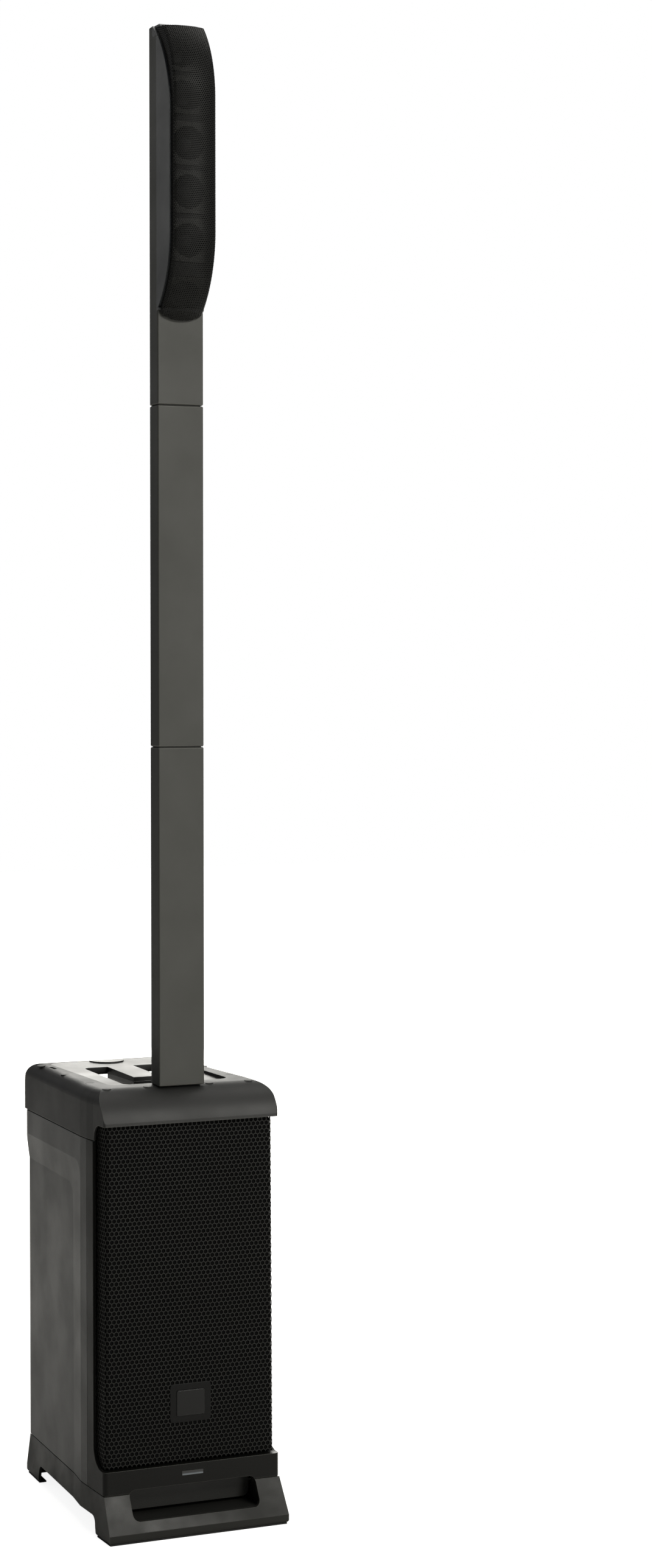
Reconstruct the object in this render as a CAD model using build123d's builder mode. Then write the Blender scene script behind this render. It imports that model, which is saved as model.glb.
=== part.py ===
from build123d import *
from math import cos, hypot, radians, sin, sqrt
import os

# A column loudspeaker system: a bass cabinet on a flared base, with a two-part
# column that plugs into its deck and carries a bulged array head of small drivers.
# X is across, Y runs from the front (-Y) to the back (+Y) and Z is up.
# The origin is on the floor, at the centre of the base.

os.makedirs("parts", exist_ok=True)

# ---------------------------------------------------------------- driving sizes
# Base skirt
base_width = 252.0            # across the foot, at the front
base_depth = 389.0
base_narrowing = 24.5         # each side of the foot, from front to back
sole_height = 2.0             # rubber under the skirt
foot_band = 11.0              # upright edge at the skirt's foot, before the flare
skirt_height = 55.3           # skirt moulding, from the sole to the cabinet
skirt_wall = 4.0
skirt_ledge = 12.0            # flange at the skirt's top, under the cabinet
foot_length = 50.0            # front foot, floor to the side arch
arch_rise = 24.0              # side arch above the sole
arch_corner = 12.0

# Cabinet
body_height = 457.2
body_wall = 5.0
side_step = 2.3               # cabinet sides inside the foot's front corners
side_narrowing = 17.2         # each side of the cabinet, from the taper line to the back
taper_y = -84.0               # the sides start to close in behind this line
split_y = -108.5              # seam between the front moulding and the shell
back_y = 183.0
back_corner = 12.0
recess_start = 1.0            # side recess starts this far behind the taper line
recess_front_run = 44.0       # slope from the side face into the side recess
recess_sink = 6.2             # depth of the side recess
recess_top_gap = 33.5         # side recess edge below the cap seam
recess_top_run = 36.0
recess_corner = 22.0
seam_gap = 1.2                # shadow gaps between the mouldings
seam_depth = 2.0

# Front moulding
band_y = -168.3               # face of the lower band
band_height = 31.5
band_wall = 3.8
band_corner = 6.0
strip_y = -130.0              # front edge of the side strips
strip_wall = 4.0
strip_sweep = 28.0            # radius from the strips into the band
baffle_y = -121.0
baffle_wall = 5.0
slot_border = 34.7            # cabinet side to the slot across the band and the base
slot_low = 25.7
slot_high = 62.6
slot_corner = 9.0
light_width = 29.0
light_height = 5.2
light_drop = 12.0             # status light below the band's top edge

# Grille
grille_y = -160.0
grille_sheet = 1.4
grille_gap = 1.0              # grille to the strips, at its foot
grille_narrowing = 2.1        # each side of the grille, from foot to top
grille_foot_gap = 2.0
grille_depth = 33.0
grille_bend = 5.0
grille_tuck = 20.6            # grille above the cap seam, behind the visor
badge_pad = (57.0, 51.0, 0.6)
badge_size = (39.0, 34.0, 2.0)
badge_height = 78.5           # badge centre above the band's top
peg_radius = 5.0
peg_inset = 12.7              # pegs from the grille's side

# Cap and deck
cap_height = 64.5
cap_wall = 4.0
cap_edge = 18.0               # round along the deck's long edges
cap_bead = 3.0                # round on the visor's ends
visor_radius = 56.0
visor_edge_y = -115.0           # where the deck rolls over into the visor
visor_lip = 4.0
visor_inset = 1.5             # visor's ends inside the cabinet's sides
visor_drop = 43.0             # visor's lower edge below the deck
cap_sweep = 20.0
rear_round = 28.0
tray_border = 22.5            # tray opening inside the cabinet's back corners
tray_front_y = -93.5
tray_back_y = 151.0
tray_sink = 5.0               # tray floor below the deck
tray_plate = 4.0
tray_corner = 14.0
tray_ledge = 4.0
tray_fit = 0.4
hole_inner = 18.7             # finger holes, each side of the bar
hole_outer = 53.8
hole_front_y = -63.6
hole_back_y = 91.6
hole_corner = 9.0
collar_height = 20.0
collar_wall = 3.0
bar_front_y = -8.0
well_drop = 12.0
grip_drop = 22.0
grip_round = 12.0
lip_chord = 49.0              # raised lip at the back of the tray
lip_depth = 26.0
lip_rise = 1.2
plug_radius = 6.0
plug_height = 1.6
plug_inset = 6.2
plug_inner_x = 43.5
plug_front_y = -120.0
plug_rows_y = (-56.8, 36.8, 131.5)
cable_slit = (4.5, 22.0)
slit_inset = 13.0
slit_y = 103.3
rear_gap = (184.0, 34.0)      # hand opening behind the deck
rear_gap_rise = 7.0
rear_gap_corner = 12.0

# Column
column_width = 63.6
column_depth = 43.2
column_front_y = -133.2
column_edge = 1.5
column_round = 19.0
column_wall = 2.6
spacer_length = 443.7
joint_chamfer = 1.2
joint_gap = 1.0               # tube's top below its end piece, a shadow line at the joint
seat_gap = 0.2                # column end above the socket's rim
tongue_size = (48.0, 21.0)
tongue_set_back = 4.1         # tongue behind the middle of the column
tongue_length = 50.0
tongue_corner = 6.0
tongue_fit = 0.35
socket_floor = 4.0
socket_wall = 2.4
socket_ears = (74.0, 12.0)    # flange that hangs the socket under the deck
insert_depth = 34.0           # how far the end pieces sit inside the column tubes
insert_fit = 0.1
contact_radius = 2.4
contact_length = 5.0
contact_pitch = 11.0

# Array head
head_length = 487.6
neck_length = 121.0           # plain column length below the bulge
bulge_radius = 131.0
bulge_y = -177.6
cheek_step = 3.2              # side walls' edge behind the bulge's line
cheek_radius = 143.0          # their curve at the top
shell_wall = 3.0
spine_y = -129.0              # seam between the spine and the front shell
spine_jog = 13.0
spine_cap = 14.0
head_grille_proud = 7.4
head_grille_crown = 5.0
head_grille_sheet = 1.2
head_grille_tuck = 2.0        # grille's sides behind the edge of the shell's side walls
head_grille_lift = 3.6        # grille's lower edge in front of the neck
head_grille_run = 22.0        # grille's sweep, past the shell at both ends
head_grille_bend = 2.5
head_grille_margin = 3.5      # grille short of the shell at both ends
head_baffle_y = -159.0
head_baffle_wall = 3.0
facet_low = 163.0             # baffle breaks, above the head's foot
facet_high = 366.0
facet_root_y = -118.0
driver_pitch = 62.0
driver_frame = 55.0
driver_plate = 2.5
driver_cone = 23.5
driver_depth = 19.0
driver_magnet = 17.0
driver_magnet_depth = 11.0
middle_drivers = 3
middle_first = 208.9          # lowest driver of the middle facet, above the head's foot
upper_drivers = 2

# Woofer
woofer_height = 243.0         # centre above the cabinet's foot
woofer_frame_r = 104.0
woofer_flange = 4.0
woofer_cut_r = 92.0
woofer_roll_r = 6.5
woofer_cone_r = 77.0
woofer_neck_r = 20.0
woofer_cone_depth = 38.0
woofer_sheet = 1.4
woofer_dust_r = 30.0
woofer_depth = 78.0
woofer_rear_r = 50.0
woofer_magnet_r = 60.0
woofer_magnet_depth = 26.0
woofer_windows = 6
woofer_coil_fit = 0.6

# Port under the cabinet
scoop_front_y = -186.0
scoop_fit = 0.3               # scoop's edge behind the skirt's sloping front wall
vane_y = -145.0
vane_foot = 30.3
vane_reach = 20.0             # vane carried up behind the band
port_back_y = -62.0
port_sheet = 3.0
port_corner = 10.0
port_tube_half = 78.0
port_tube_depth = 32.0
port_tube_length = 120.0

# Rear panel
panel_half = 82.0
panel_drop = 27.2             # panel's upper edge below the cap seam
panel_height = 225.0
panel_sink = 9.0
panel_plate = 3.0
panel_corner = 10.0
panel_flange = 6.0
panel_fit = 0.2
knob_radius = 8.5
knob_length = 12.0
knob_stand = 0.5
knob_taper = 4.0
knob_mark = 1.2
knob_names = ("channel_knob_1", "channel_knob_2", "channel_knob_3", "master_knob")
shaft_radius = 3.0
shaft_fit = 0.05
knob_x = (-57.0, -19.0, 19.0, 57.0)
knob_row = 185.0              # rows above the panel's lower edge
button_row = 148.0
button_size = (12.0, 6.0, 4.5)
button_fit = 0.3
button_lug = 1.2
control_board_gap = 3.6        # behind the panel, past the buttons' travel
control_board_size = (140.0, 66.0)
button_names = ("pairing_button", "ducking_button", "feedback_button", "preset_button")
jack_row = 95.0
jack_x = (-50.0, 50.0)
jack_flange = (26.0, 31.0)
jack_flange_plate = 2.0
jack_body_r = 11.5
jack_cup_r = 9.5
jack_cup_depth = 8.0
jack_bore_r = 3.25
jack_depth = 26.0
output_row = 95.0
aux_row = 45.0
aux_x = (-14.0, 14.0)
aux_bore_r = 3.2
aux_body_r = 6.0
inlet_height = 45.0           # mains inlet above the cabinet's foot
inlet_x = 28.0
inlet_flange = (50.0, 28.0)
inlet_mouth = (25.0, 17.0)
inlet_mouth_depth = 16.0
inlet_depth = 26.0
inlet_body = (42.0, 20.0)
inlet_corner = 4.0
rocker_x = -34.0
rocker_size = (11.0, 17.0)
rocker_frame = (21.0, 27.0)
rocker_body = (17.0, 23.0)
rocker_y = 180.5
rocker_rise = 5.0
rocker_pin = 14.0
rocker_tilt = 8.0             # rocker angle either side of level
rocker_radius = 1.6
amp_plate = (150.0, 200.0, 3.0)
amp_stand = 44.0
amp_part_height = 12.0
fin_count = 9
fin_size = (2.0, 22.0)
board_size = (130.0, 90.0, 1.6)
post_inset = 16.0
capacitor_r = 11.0
transformer_side = 34.0

# ---------------------------------------------------------------- shared places
skirt_top = sole_height + skirt_height
cap_z = skirt_top + body_height
deck_z = cap_z + cap_height
foot_half = base_width / 2
foot_back_half = foot_half - base_narrowing
half_front = foot_half - side_step
half_back = half_front - side_narrowing
recess_front_half = half_front - recess_sink
recess_back_half = half_back - recess_sink
slot_half = half_front - slot_border
visor_half = half_front - visor_inset
grille_foot_half = half_front - strip_wall - grille_gap
grille_top_half = grille_foot_half - grille_narrowing
peg_x = grille_foot_half - peg_inset
tray_half = half_back - tray_border
plug_side_x = half_back - plug_inset
slit_x = slit_inset - half_back
foot_y = base_depth / 2
recess_front_y = taper_y + recess_front_run
band_top = skirt_top + band_height
visor_z = deck_z - visor_drop
woofer_z = skirt_top + woofer_height
column_mid_y = column_front_y + column_depth / 2
tongue_at = (0, column_mid_y + tongue_set_back)
lower_z = deck_z + seat_gap
upper_z = lower_z + spacer_length
head_z = upper_z + spacer_length
head_top = head_z + head_length
cap_seam_z = cap_z - seam_gap
tray_floor = deck_z - tray_sink
panel_z = cap_z - panel_drop - panel_height
panel_y = back_y - panel_sink

side_line = [(half_front, taper_y), (half_back, back_y)]
recess_line = [
    (half_front, taper_y),
    (recess_front_half, recess_front_y),
    (recess_back_half, back_y),
]


def outline(level, right_side, front_round=0.0, back_round=0.0, grow=0.0):
    """Plan outline at one level, from its right-hand corners, front to back."""
    left_side = [(-x, y) for x, y in reversed(right_side)]
    with BuildSketch(Plane.XY.offset(level)) as plan:
        with BuildLine():
            Polyline(*right_side, *left_side, close=True)
        make_face()
        if front_round:
            fillet(plan.vertices().group_by(Axis.Y)[0], front_round)
        if back_round:
            fillet(plan.vertices().group_by(Axis.Y)[-1], back_round)
        if grow:
            offset(amount=grow, kind=Kind.INTERSECTION)
    return plan.sketch


def column_section(level, inset=0.0):
    """D-shaped column outline: flat face in front, rounded behind."""
    with BuildSketch(Plane.XY.offset(level)) as section:
        with Locations((0, column_mid_y)):
            Rectangle(column_width - 2 * inset, column_depth - 2 * inset)
        fillet(section.vertices().group_by(Axis.Y)[-1], column_round - inset)
        if inset < column_edge:
            fillet(section.vertices().group_by(Axis.Y)[0], column_edge)
    return section.sketch


def rounded(level, size, corner, centre=(0, 0)):
    """Rounded rectangle in plan, for tongues, sleeves, pockets and ducts."""
    with BuildSketch(Plane.XY.offset(level)) as shape:
        with Locations(centre):
            RectangleRounded(size[0], size[1], corner)
    return shape.sketch


def save(name, solid):
    solid.label = name
    export_step(solid, f"parts/{name}.step")


# ---------------------------------------------------------------- base
# One moulded skirt flares out to the floor; arches in its sides leave a front
# and a back foot, and the slot in its front runs up into the band above it.
skirt_rim = [(half_front, band_y), *recess_line]
foot_line = [
    (foot_half, -foot_y),
    (foot_half, taper_y),
    (foot_half - (half_front - recess_front_half), recess_front_y),
    (foot_back_half, foot_y),
]
foot_z = sole_height + foot_band
arch_end = (-foot_y + foot_length, foot_y - foot_length * 1.2)

with BuildSketch(Plane.XZ) as slot_shape:
    with Locations((0, (slot_low + slot_high) / 2)):
        RectangleRounded(2 * slot_half, slot_high - slot_low, slot_corner)

with BuildPart() as base_skirt:
    loft(
        sections=[outline(foot_z, foot_line), outline(skirt_top, skirt_rim)], ruled=True
    )
    extrude(outline(sole_height, foot_line), amount=foot_band)
    fillet(base_skirt.edges().group_by(Axis.Z)[0], skirt_wall)
    loft(
        sections=[
            outline(foot_z, foot_line, grow=-skirt_wall),
            outline(skirt_top - skirt_wall, skirt_rim, grow=-skirt_wall),
        ],
        ruled=True,
        mode=Mode.SUBTRACT,
    )
    extrude(
        outline(sole_height, foot_line, grow=-skirt_wall), amount=foot_band, mode=Mode.SUBTRACT
    )
    extrude(
        outline(skirt_top, skirt_rim, grow=-skirt_ledge), amount=-skirt_wall, mode=Mode.SUBTRACT
    )
    with BuildSketch(Plane.YZ) as arch:
        with BuildLine():
            Polyline(
                (arch_end[0], 0),
                (arch_end[0] + arch_corner / 2, sole_height + arch_rise),
                (arch_end[1] - arch_corner / 2, sole_height + arch_rise),
                (arch_end[1], 0),
                close=True,
            )
        make_face()
        fillet(arch.vertices().group_by(Axis.Y)[-1], arch_corner)
    extrude(amount=base_width, both=True, mode=Mode.SUBTRACT)
    extrude(slot_shape.sketch, amount=foot_y + skirt_wall, mode=Mode.SUBTRACT)
save("base_skirt", base_skirt.part)

with BuildPart() as rubber_feet:
    extrude(outline(0, foot_line, grow=-skirt_wall * 0.5), amount=sole_height)
    extrude(outline(0, foot_line, grow=-skirt_wall * 3), amount=sole_height, mode=Mode.SUBTRACT)
    with Locations((0, sum(arch_end) / 2, sole_height / 2)):
        Box(base_width, arch_end[1] - arch_end[0], sole_height, mode=Mode.SUBTRACT)
save("rubber_feet", rubber_feet.part)

# The port's tube comes down through the cabinet's floor into a scoop, which
# opens forward behind the slot; a vane hangs across the scoop's mouth.
port_tube_y = port_back_y - port_tube_depth / 2 - port_sheet
scoop_size = (2 * (slot_half + 2 * port_sheet), port_back_y - scoop_front_y)
scoop_inside = (scoop_size[0] - 2 * port_sheet, scoop_size[1])
scoop_y = (scoop_front_y + port_back_y) / 2
scoop_foot = slot_low - port_sheet
shelf_z = skirt_top - skirt_wall
tube_size = (2 * port_tube_half, port_tube_depth)
tube_inside = tuple(side - 2 * port_sheet for side in tube_size)
tube_at = (0, port_tube_y)
vane_size = (2 * slot_half, skirt_top + vane_reach - vane_foot)
skirt_slope = (band_y + foot_y) / (shelf_z - foot_z)
scoop_low_y = skirt_wall - foot_y + scoop_fit + skirt_slope * (scoop_foot - foot_z)
scoop_high_y = skirt_wall + band_y + scoop_fit
with BuildPart() as port_duct:
    extrude(rounded(scoop_foot, scoop_size, port_corner, (0, scoop_y)), amount=shelf_z - scoop_foot)
    with BuildSketch(Plane.YZ):
        with BuildLine():
            Polyline(
                (-base_depth, scoop_foot),
                (scoop_low_y, scoop_foot),
                (scoop_high_y, shelf_z),
                (-base_depth, shelf_z),
                close=True,
            )
        make_face()
    extrude(amount=base_width, both=True, mode=Mode.SUBTRACT)
    with Locations((0, scoop_y - port_sheet, (slot_low + shelf_z) / 2)):
        Box(*scoop_inside, shelf_z - slot_low, mode=Mode.SUBTRACT)
    with Locations((0, scoop_front_y, (slot_low + shelf_z) / 2)):
        Box(scoop_inside[0], 4 * port_corner, shelf_z - slot_low, mode=Mode.SUBTRACT)
    with BuildSketch(Plane.XZ.offset(-vane_y)) as vane:
        with Locations((0, vane_foot + vane_size[1] / 2)):
            Rectangle(*vane_size)
        fillet(vane.vertices().group_by(Axis.Y)[0], slot_corner)
    extrude(amount=-port_sheet)
    with Locations((0, vane_y + (port_back_y - vane_y) / 2, shelf_z - port_sheet / 2)):
        Box(scoop_inside[0], port_back_y - vane_y, port_sheet)
    extrude(rounded(shelf_z - port_sheet, tube_size, port_corner, tube_at), amount=port_tube_length)
    extrude(
        rounded(shelf_z - port_sheet, tube_inside, port_corner - port_sheet, tube_at),
        amount=port_tube_length,
        mode=Mode.SUBTRACT,
    )
save("port_duct", port_duct.part)

# ---------------------------------------------------------------- front moulding
# Side strips, lower band and baffle wall in one piece; the strips sweep
# forward into the band, and the grille stands in the opening between them.
baffle_back_y = baffle_y + baffle_wall
grille_foot_z = band_top + grille_foot_gap
grille_top_z = cap_z + grille_tuck
peg_rows = [
    grille_foot_z + 2 * peg_radius + grille_bend,
    woofer_z + woofer_frame_r + peg_radius,
    cap_z - 2 * peg_radius,
]
pegs = [(side * peg_x, z) for side in (-1, 1) for z in peg_rows]
front_rim = [(half_front, band_y), (half_front, split_y)]
with BuildPart() as front_frame:
    extrude(outline(skirt_top, front_rim, front_round=band_corner), amount=body_height)
    for level in (skirt_top, cap_seam_z):
        extrude(
            outline(level, front_rim, grow=seam_gap) - outline(level, front_rim, grow=-seam_depth),
            amount=seam_gap,
            mode=Mode.SUBTRACT,
        )
    with BuildSketch(Plane.YZ) as sweep_side:
        with BuildLine():
            Polyline(
                (-base_depth, band_top),
                (strip_y, band_top),
                (strip_y, cap_z + 1),
                (-base_depth, cap_z + 1),
                close=True,
            )
        make_face()
        fillet(sweep_side.vertices().sort_by(Axis.X)[-2:].sort_by(Axis.Y)[0], strip_sweep)
    extrude(amount=base_width, both=True, mode=Mode.SUBTRACT)
    inner_half = half_front - strip_wall
    with BuildSketch(Plane.XZ.offset(-baffle_y)):
        with Locations((0, (band_top + cap_z) / 2)):
            Rectangle(2 * inner_half, cap_z - band_top)
    extrude(amount=base_depth, mode=Mode.SUBTRACT)
    # hollow behind the band's face, open to the base
    with Locations((0, (band_y + band_wall + baffle_y) / 2, skirt_top)):
        Box(
            2 * (inner_half - strip_wall / 2),
            baffle_y - band_y - band_wall,
            2 * (band_height - band_wall),
            mode=Mode.SUBTRACT,
        )
    # hollow behind the baffle wall, open to the shell
    with Locations((0, (baffle_back_y + split_y) / 2, (skirt_top + cap_z) / 2)):
        Box(
            2 * (half_front - body_wall),
            split_y - baffle_back_y,
            body_height - 2 * body_wall,
            mode=Mode.SUBTRACT,
        )
    with Locations(Plane.XZ.offset(-baffle_y)):
        with Locations((0, woofer_z)):
            Cylinder(woofer_cut_r, 4 * baffle_wall, mode=Mode.SUBTRACT)
    extrude(slot_shape.sketch, amount=base_depth, mode=Mode.SUBTRACT)
    with BuildSketch(Plane.XZ.offset(-band_y)):
        with Locations((0, band_top - light_drop)):
            Rectangle(light_width, light_height)
    extrude(amount=-band_wall, mode=Mode.SUBTRACT)
    with BuildSketch(Plane.XZ.offset(-baffle_y)):
        with Locations(*pegs):
            Circle(peg_radius)
    extrude(amount=baffle_y - grille_y - grille_sheet)
save("front_frame", front_frame.part)

with BuildPart() as status_light:
    with BuildSketch(Plane.XZ.offset(-band_y)):
        with Locations((0, band_top - light_drop)):
            Rectangle(light_width, light_height)
    extrude(amount=-band_wall)
save("status_light", status_light.part)

# ---------------------------------------------------------------- cabinet shell
# Rear moulding of the cabinet. A shallow recess with a sloped edge runs down
# each side and on through the base.
side_run = hypot(half_front - half_back, back_y - taper_y)
side_along = Vector(half_back - half_front, back_y - taper_y, 0).normalized()
floor_along = Vector(
    recess_back_half - recess_front_half, back_y - recess_front_y, 0
).normalized()
side_plane = Plane(
    origin=(half_front, taper_y, 0),
    x_dir=side_along,
    z_dir=side_along.cross(Vector(0, 0, 1)),
)
floor_plane = Plane(
    origin=(recess_front_half, recess_front_y, 0),
    x_dir=floor_along,
    z_dir=floor_along.cross(Vector(0, 0, 1)),
)
recess_edge_z = cap_z - recess_top_gap


def recess_profile(plane, front, top):
    """Side view of the recess: open below and behind, one rounded top corner."""
    with BuildSketch(plane) as profile:
        with BuildLine():
            Polyline(
                (front, 0), (front, top), (side_run * 1.2, top), (side_run * 1.2, 0), close=True
            )
        make_face()
        fillet(profile.vertices().group_by(Axis.X)[0].sort_by(Axis.Y)[-1], recess_corner)
    return profile.sketch


recess_outer = recess_profile(side_plane, recess_start, recess_edge_z)
recess_floor = recess_profile(floor_plane, 0, recess_edge_z - recess_top_run)
with BuildPart() as side_recess:
    loft(sections=[recess_floor, recess_outer], ruled=True)
    extrude(recess_outer, amount=recess_corner)
    mirror(about=Plane.YZ)

shell_rim = [(half_front, split_y), *side_line]
cavity_line = [
    (half_front - body_wall, split_y - body_wall),
    (half_front - body_wall, taper_y),
    (recess_front_half - body_wall, recess_front_y),
    (recess_back_half - body_wall, back_y - body_wall),
]
rear_plane = Plane(origin=(0, back_y, 0), x_dir=(-1, 0, 0), z_dir=(0, 1, 0))
panel_mid_z = panel_z + panel_height / 2
panel_opening = (2 * panel_half, panel_height)
inlet_z = skirt_top + inlet_height
with BuildPart() as cabinet_shell:
    extrude(outline(skirt_top, shell_rim, back_round=back_corner), amount=body_height)
    add(side_recess.part, mode=Mode.SUBTRACT)
    # shadow gaps under the cap, over the base and along the front moulding
    for level, rim in ((skirt_top, [(half_front, split_y), *recess_line]), (cap_seam_z, shell_rim)):
        extrude(
            outline(level, shell_rim, grow=seam_gap) - outline(level, rim, grow=-seam_depth),
            amount=seam_gap,
            mode=Mode.SUBTRACT,
        )
    with Locations((half_front, split_y, cap_z / 2), (-half_front, split_y, cap_z / 2)):
        Box(2 * seam_depth, 2 * seam_gap, cap_z, mode=Mode.SUBTRACT)
    extrude(
        outline(skirt_top + body_wall, cavity_line),
        amount=body_height - 2 * body_wall,
        mode=Mode.SUBTRACT,
    )
    with BuildSketch(rear_plane):
        with Locations((0, panel_mid_z)):
            RectangleRounded(*panel_opening, panel_corner)
        with Locations((-inlet_x, inlet_z)):
            Rectangle(*inlet_body)
        with Locations((-rocker_x, inlet_z)):
            Rectangle(*rocker_body)
    extrude(amount=-2 * body_wall, mode=Mode.SUBTRACT)
    # hole for the port tube, and the shelf of its mouth let into the floor's edge
    extrude(
        rounded(skirt_top, tube_size, port_corner, tube_at), amount=body_wall, mode=Mode.SUBTRACT
    )
save("cabinet_shell", cabinet_shell.part)

# ---------------------------------------------------------------- cap
# One moulding makes the deck, the quarter-round visor over the grille and the
# cheeks beside it. It is hollow below and open at the back for the hand.
visor_mid = (visor_edge_y, deck_z - visor_radius)
lip_z = visor_z + visor_lip
lip_y = visor_mid[0] - sqrt(visor_radius**2 - (lip_z - visor_mid[1]) ** 2)
skin_radius = visor_radius - cap_wall
skin_z = visor_z + cap_wall
skin_y = visor_mid[0] - sqrt(skin_radius**2 - (skin_z - visor_mid[1]) ** 2)


def cap_block(inset):
    """Cap's outer form, or the space inside it, by closing in on every side."""
    radius = visor_radius - inset
    top = deck_z - inset
    back = back_y - inset
    low_y, low_z = (skin_y, skin_z) if inset else (lip_y, lip_z)
    root_y = baffle_back_y if inset else strip_y
    with BuildPart() as block:
        with BuildSketch(Plane.YZ) as side:
            with BuildLine():
                Polyline((visor_mid[0], top), (back - rear_round + inset, top))
                RadiusArc(
                    (back - rear_round + inset, top), (back, top - rear_round + inset),
                    rear_round - inset,
                )
                Polyline((back, top - rear_round + inset), (back, cap_z), (root_y, cap_z))
                if inset:
                    Polyline((root_y, cap_z), (root_y, skin_z), (low_y, low_z))
                else:
                    Line((root_y, cap_z), (root_y, visor_z - cap_sweep))
                    RadiusArc(
                        (root_y, visor_z - cap_sweep), (root_y - cap_sweep, visor_z), -cap_sweep
                    )
                    Polyline((root_y - cap_sweep, visor_z), (low_y, visor_z), (low_y, low_z))
                RadiusArc((low_y, low_z), (visor_mid[0], top), radius)
            make_face()
        extrude(amount=half_front + 1, both=True)
    return block.part


def cap_tunnel(inset):
    """Front view of the cap, swept back along the tapering sides."""
    stations = [
        (-base_depth, visor_half),
        (split_y - cap_sweep, visor_half),
        (split_y, half_front),
        (taper_y, half_front),
        (back_y, half_back),
    ]
    sections = []
    for station_y, half in stations:
        with BuildSketch(Plane.XZ.offset(-station_y)) as section:
            with BuildLine():
                Polyline(
                    (-half + inset, cap_z),
                    (half - inset, cap_z),
                    (half - inset, deck_z - inset),
                    (-half + inset, deck_z - inset),
                    close=True,
                )
            make_face()
            fillet(section.vertices().group_by(Axis.Y)[-1], cap_edge - inset)
        sections.append(section.sketch)
    with BuildPart() as tunnel:
        loft(sections=sections, ruled=True)
    return tunnel.part


cap_outer = cap_block(0) & cap_tunnel(0)
visor_ends = [
    edge
    for edge in cap_outer.edges().filter_by_position(Axis.Y, -base_depth, lip_y + 1.5 * cap_bead)
    if abs(edge.center().X) > visor_half - cap_bead and edge.center().Z > lip_z - visor_lip / 2 - 1
]
cap_outer = cap_outer.fillet(cap_bead, visor_ends)
cap_inner = cap_block(cap_wall) & cap_tunnel(cap_wall)
tray_mid_y = (tray_front_y + tray_back_y) / 2
tray_size = (2 * tray_half, tray_back_y - tray_front_y)
tray_under = deck_z - cap_wall
socket_inside = (tongue_size[0] + 2 * tongue_fit, tongue_size[1] + 2 * tongue_fit)
socket_size = (socket_inside[0] + 2 * socket_wall, socket_inside[1] + 2 * socket_wall)
socket_corner = tongue_corner + tongue_fit + socket_wall
socket_depth = seat_gap + tongue_length + tongue_fit + socket_floor
plug_places = [(x, plug_front_y) for x in (-plug_side_x, -plug_inner_x, plug_inner_x, plug_side_x)]
plug_places += [(side * plug_side_x, y) for y in plug_rows_y for side in (-1, 1)]
with BuildPart() as top_cap:
    add(cap_outer)
    add(cap_inner, mode=Mode.SUBTRACT)
    # room for the grille between the cheeks
    with BuildSketch(Plane.XZ.offset(-baffle_y)):
        with Locations((0, (cap_z + visor_z) / 2)):
            Rectangle(2 * inner_half, visor_z - cap_z)
    extrude(amount=base_depth, mode=Mode.SUBTRACT)
    with BuildSketch(Plane.XY.offset(deck_z)):
        with Locations((0, tray_mid_y)):
            RectangleRounded(*tray_size, tray_corner)
        with Locations((slit_x, slit_y)):
            Rectangle(*cable_slit)
    extrude(amount=-2 * cap_wall, mode=Mode.SUBTRACT)
    extrude(
        rounded(deck_z, socket_size, socket_corner, tongue_at),
        amount=-socket_depth,
        mode=Mode.SUBTRACT,
    )
    with BuildSketch(Plane.XY.offset(deck_z)):
        with Locations(*plug_places):
            Circle(plug_radius)
    extrude(amount=-plug_height, mode=Mode.SUBTRACT)
    with BuildSketch(rear_plane):
        with Locations((0, cap_z + rear_gap_rise + rear_gap[1] / 2)):
            RectangleRounded(*rear_gap, rear_gap_corner)
    extrude(amount=-2 * cap_wall, mode=Mode.SUBTRACT)
save("top_cap", top_cap.part)

with BuildPart() as deck_plugs:
    with BuildSketch(Plane.XY.offset(deck_z - plug_height)):
        with Locations(*plug_places):
            Circle(plug_radius - tray_fit / 2)
    extrude(amount=plug_height)
save("deck_plugs", deck_plugs.part)

# The handle tray hangs in the deck's opening and slopes down to the front. Its
# finger opening runs round the front end of the bar, with a collar below.
hole_size = (2 * hole_outer, hole_back_y - hole_front_y)
hole_at = (0, (hole_front_y + hole_back_y) / 2)
collar_foot = tray_floor - collar_height
tray_plan = tuple(side - 2 * tray_fit for side in tray_size)
tray_flange = (tray_size[0] + 2 * tray_ledge, tray_size[1] + tray_ledge)
tray_flange_at = (0, tray_mid_y + tray_ledge / 2)
tray_at = (0, tray_mid_y)
with BuildPart() as tray_floor_plate:
    with BuildSketch(Plane.YZ) as tray_side:
        with BuildLine():
            Polyline(
                (tray_front_y, tray_floor - tray_plate),
                (tray_front_y, tray_floor),
                (tray_back_y, deck_z),
                (tray_back_y, tray_floor - tray_plate),
                close=True,
            )
        make_face()
    extrude(amount=tray_half, both=True)
    extrude(
        rounded(collar_foot, tray_plan, tray_corner, tray_at),
        amount=base_depth,
        mode=Mode.INTERSECT,
    )

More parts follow.
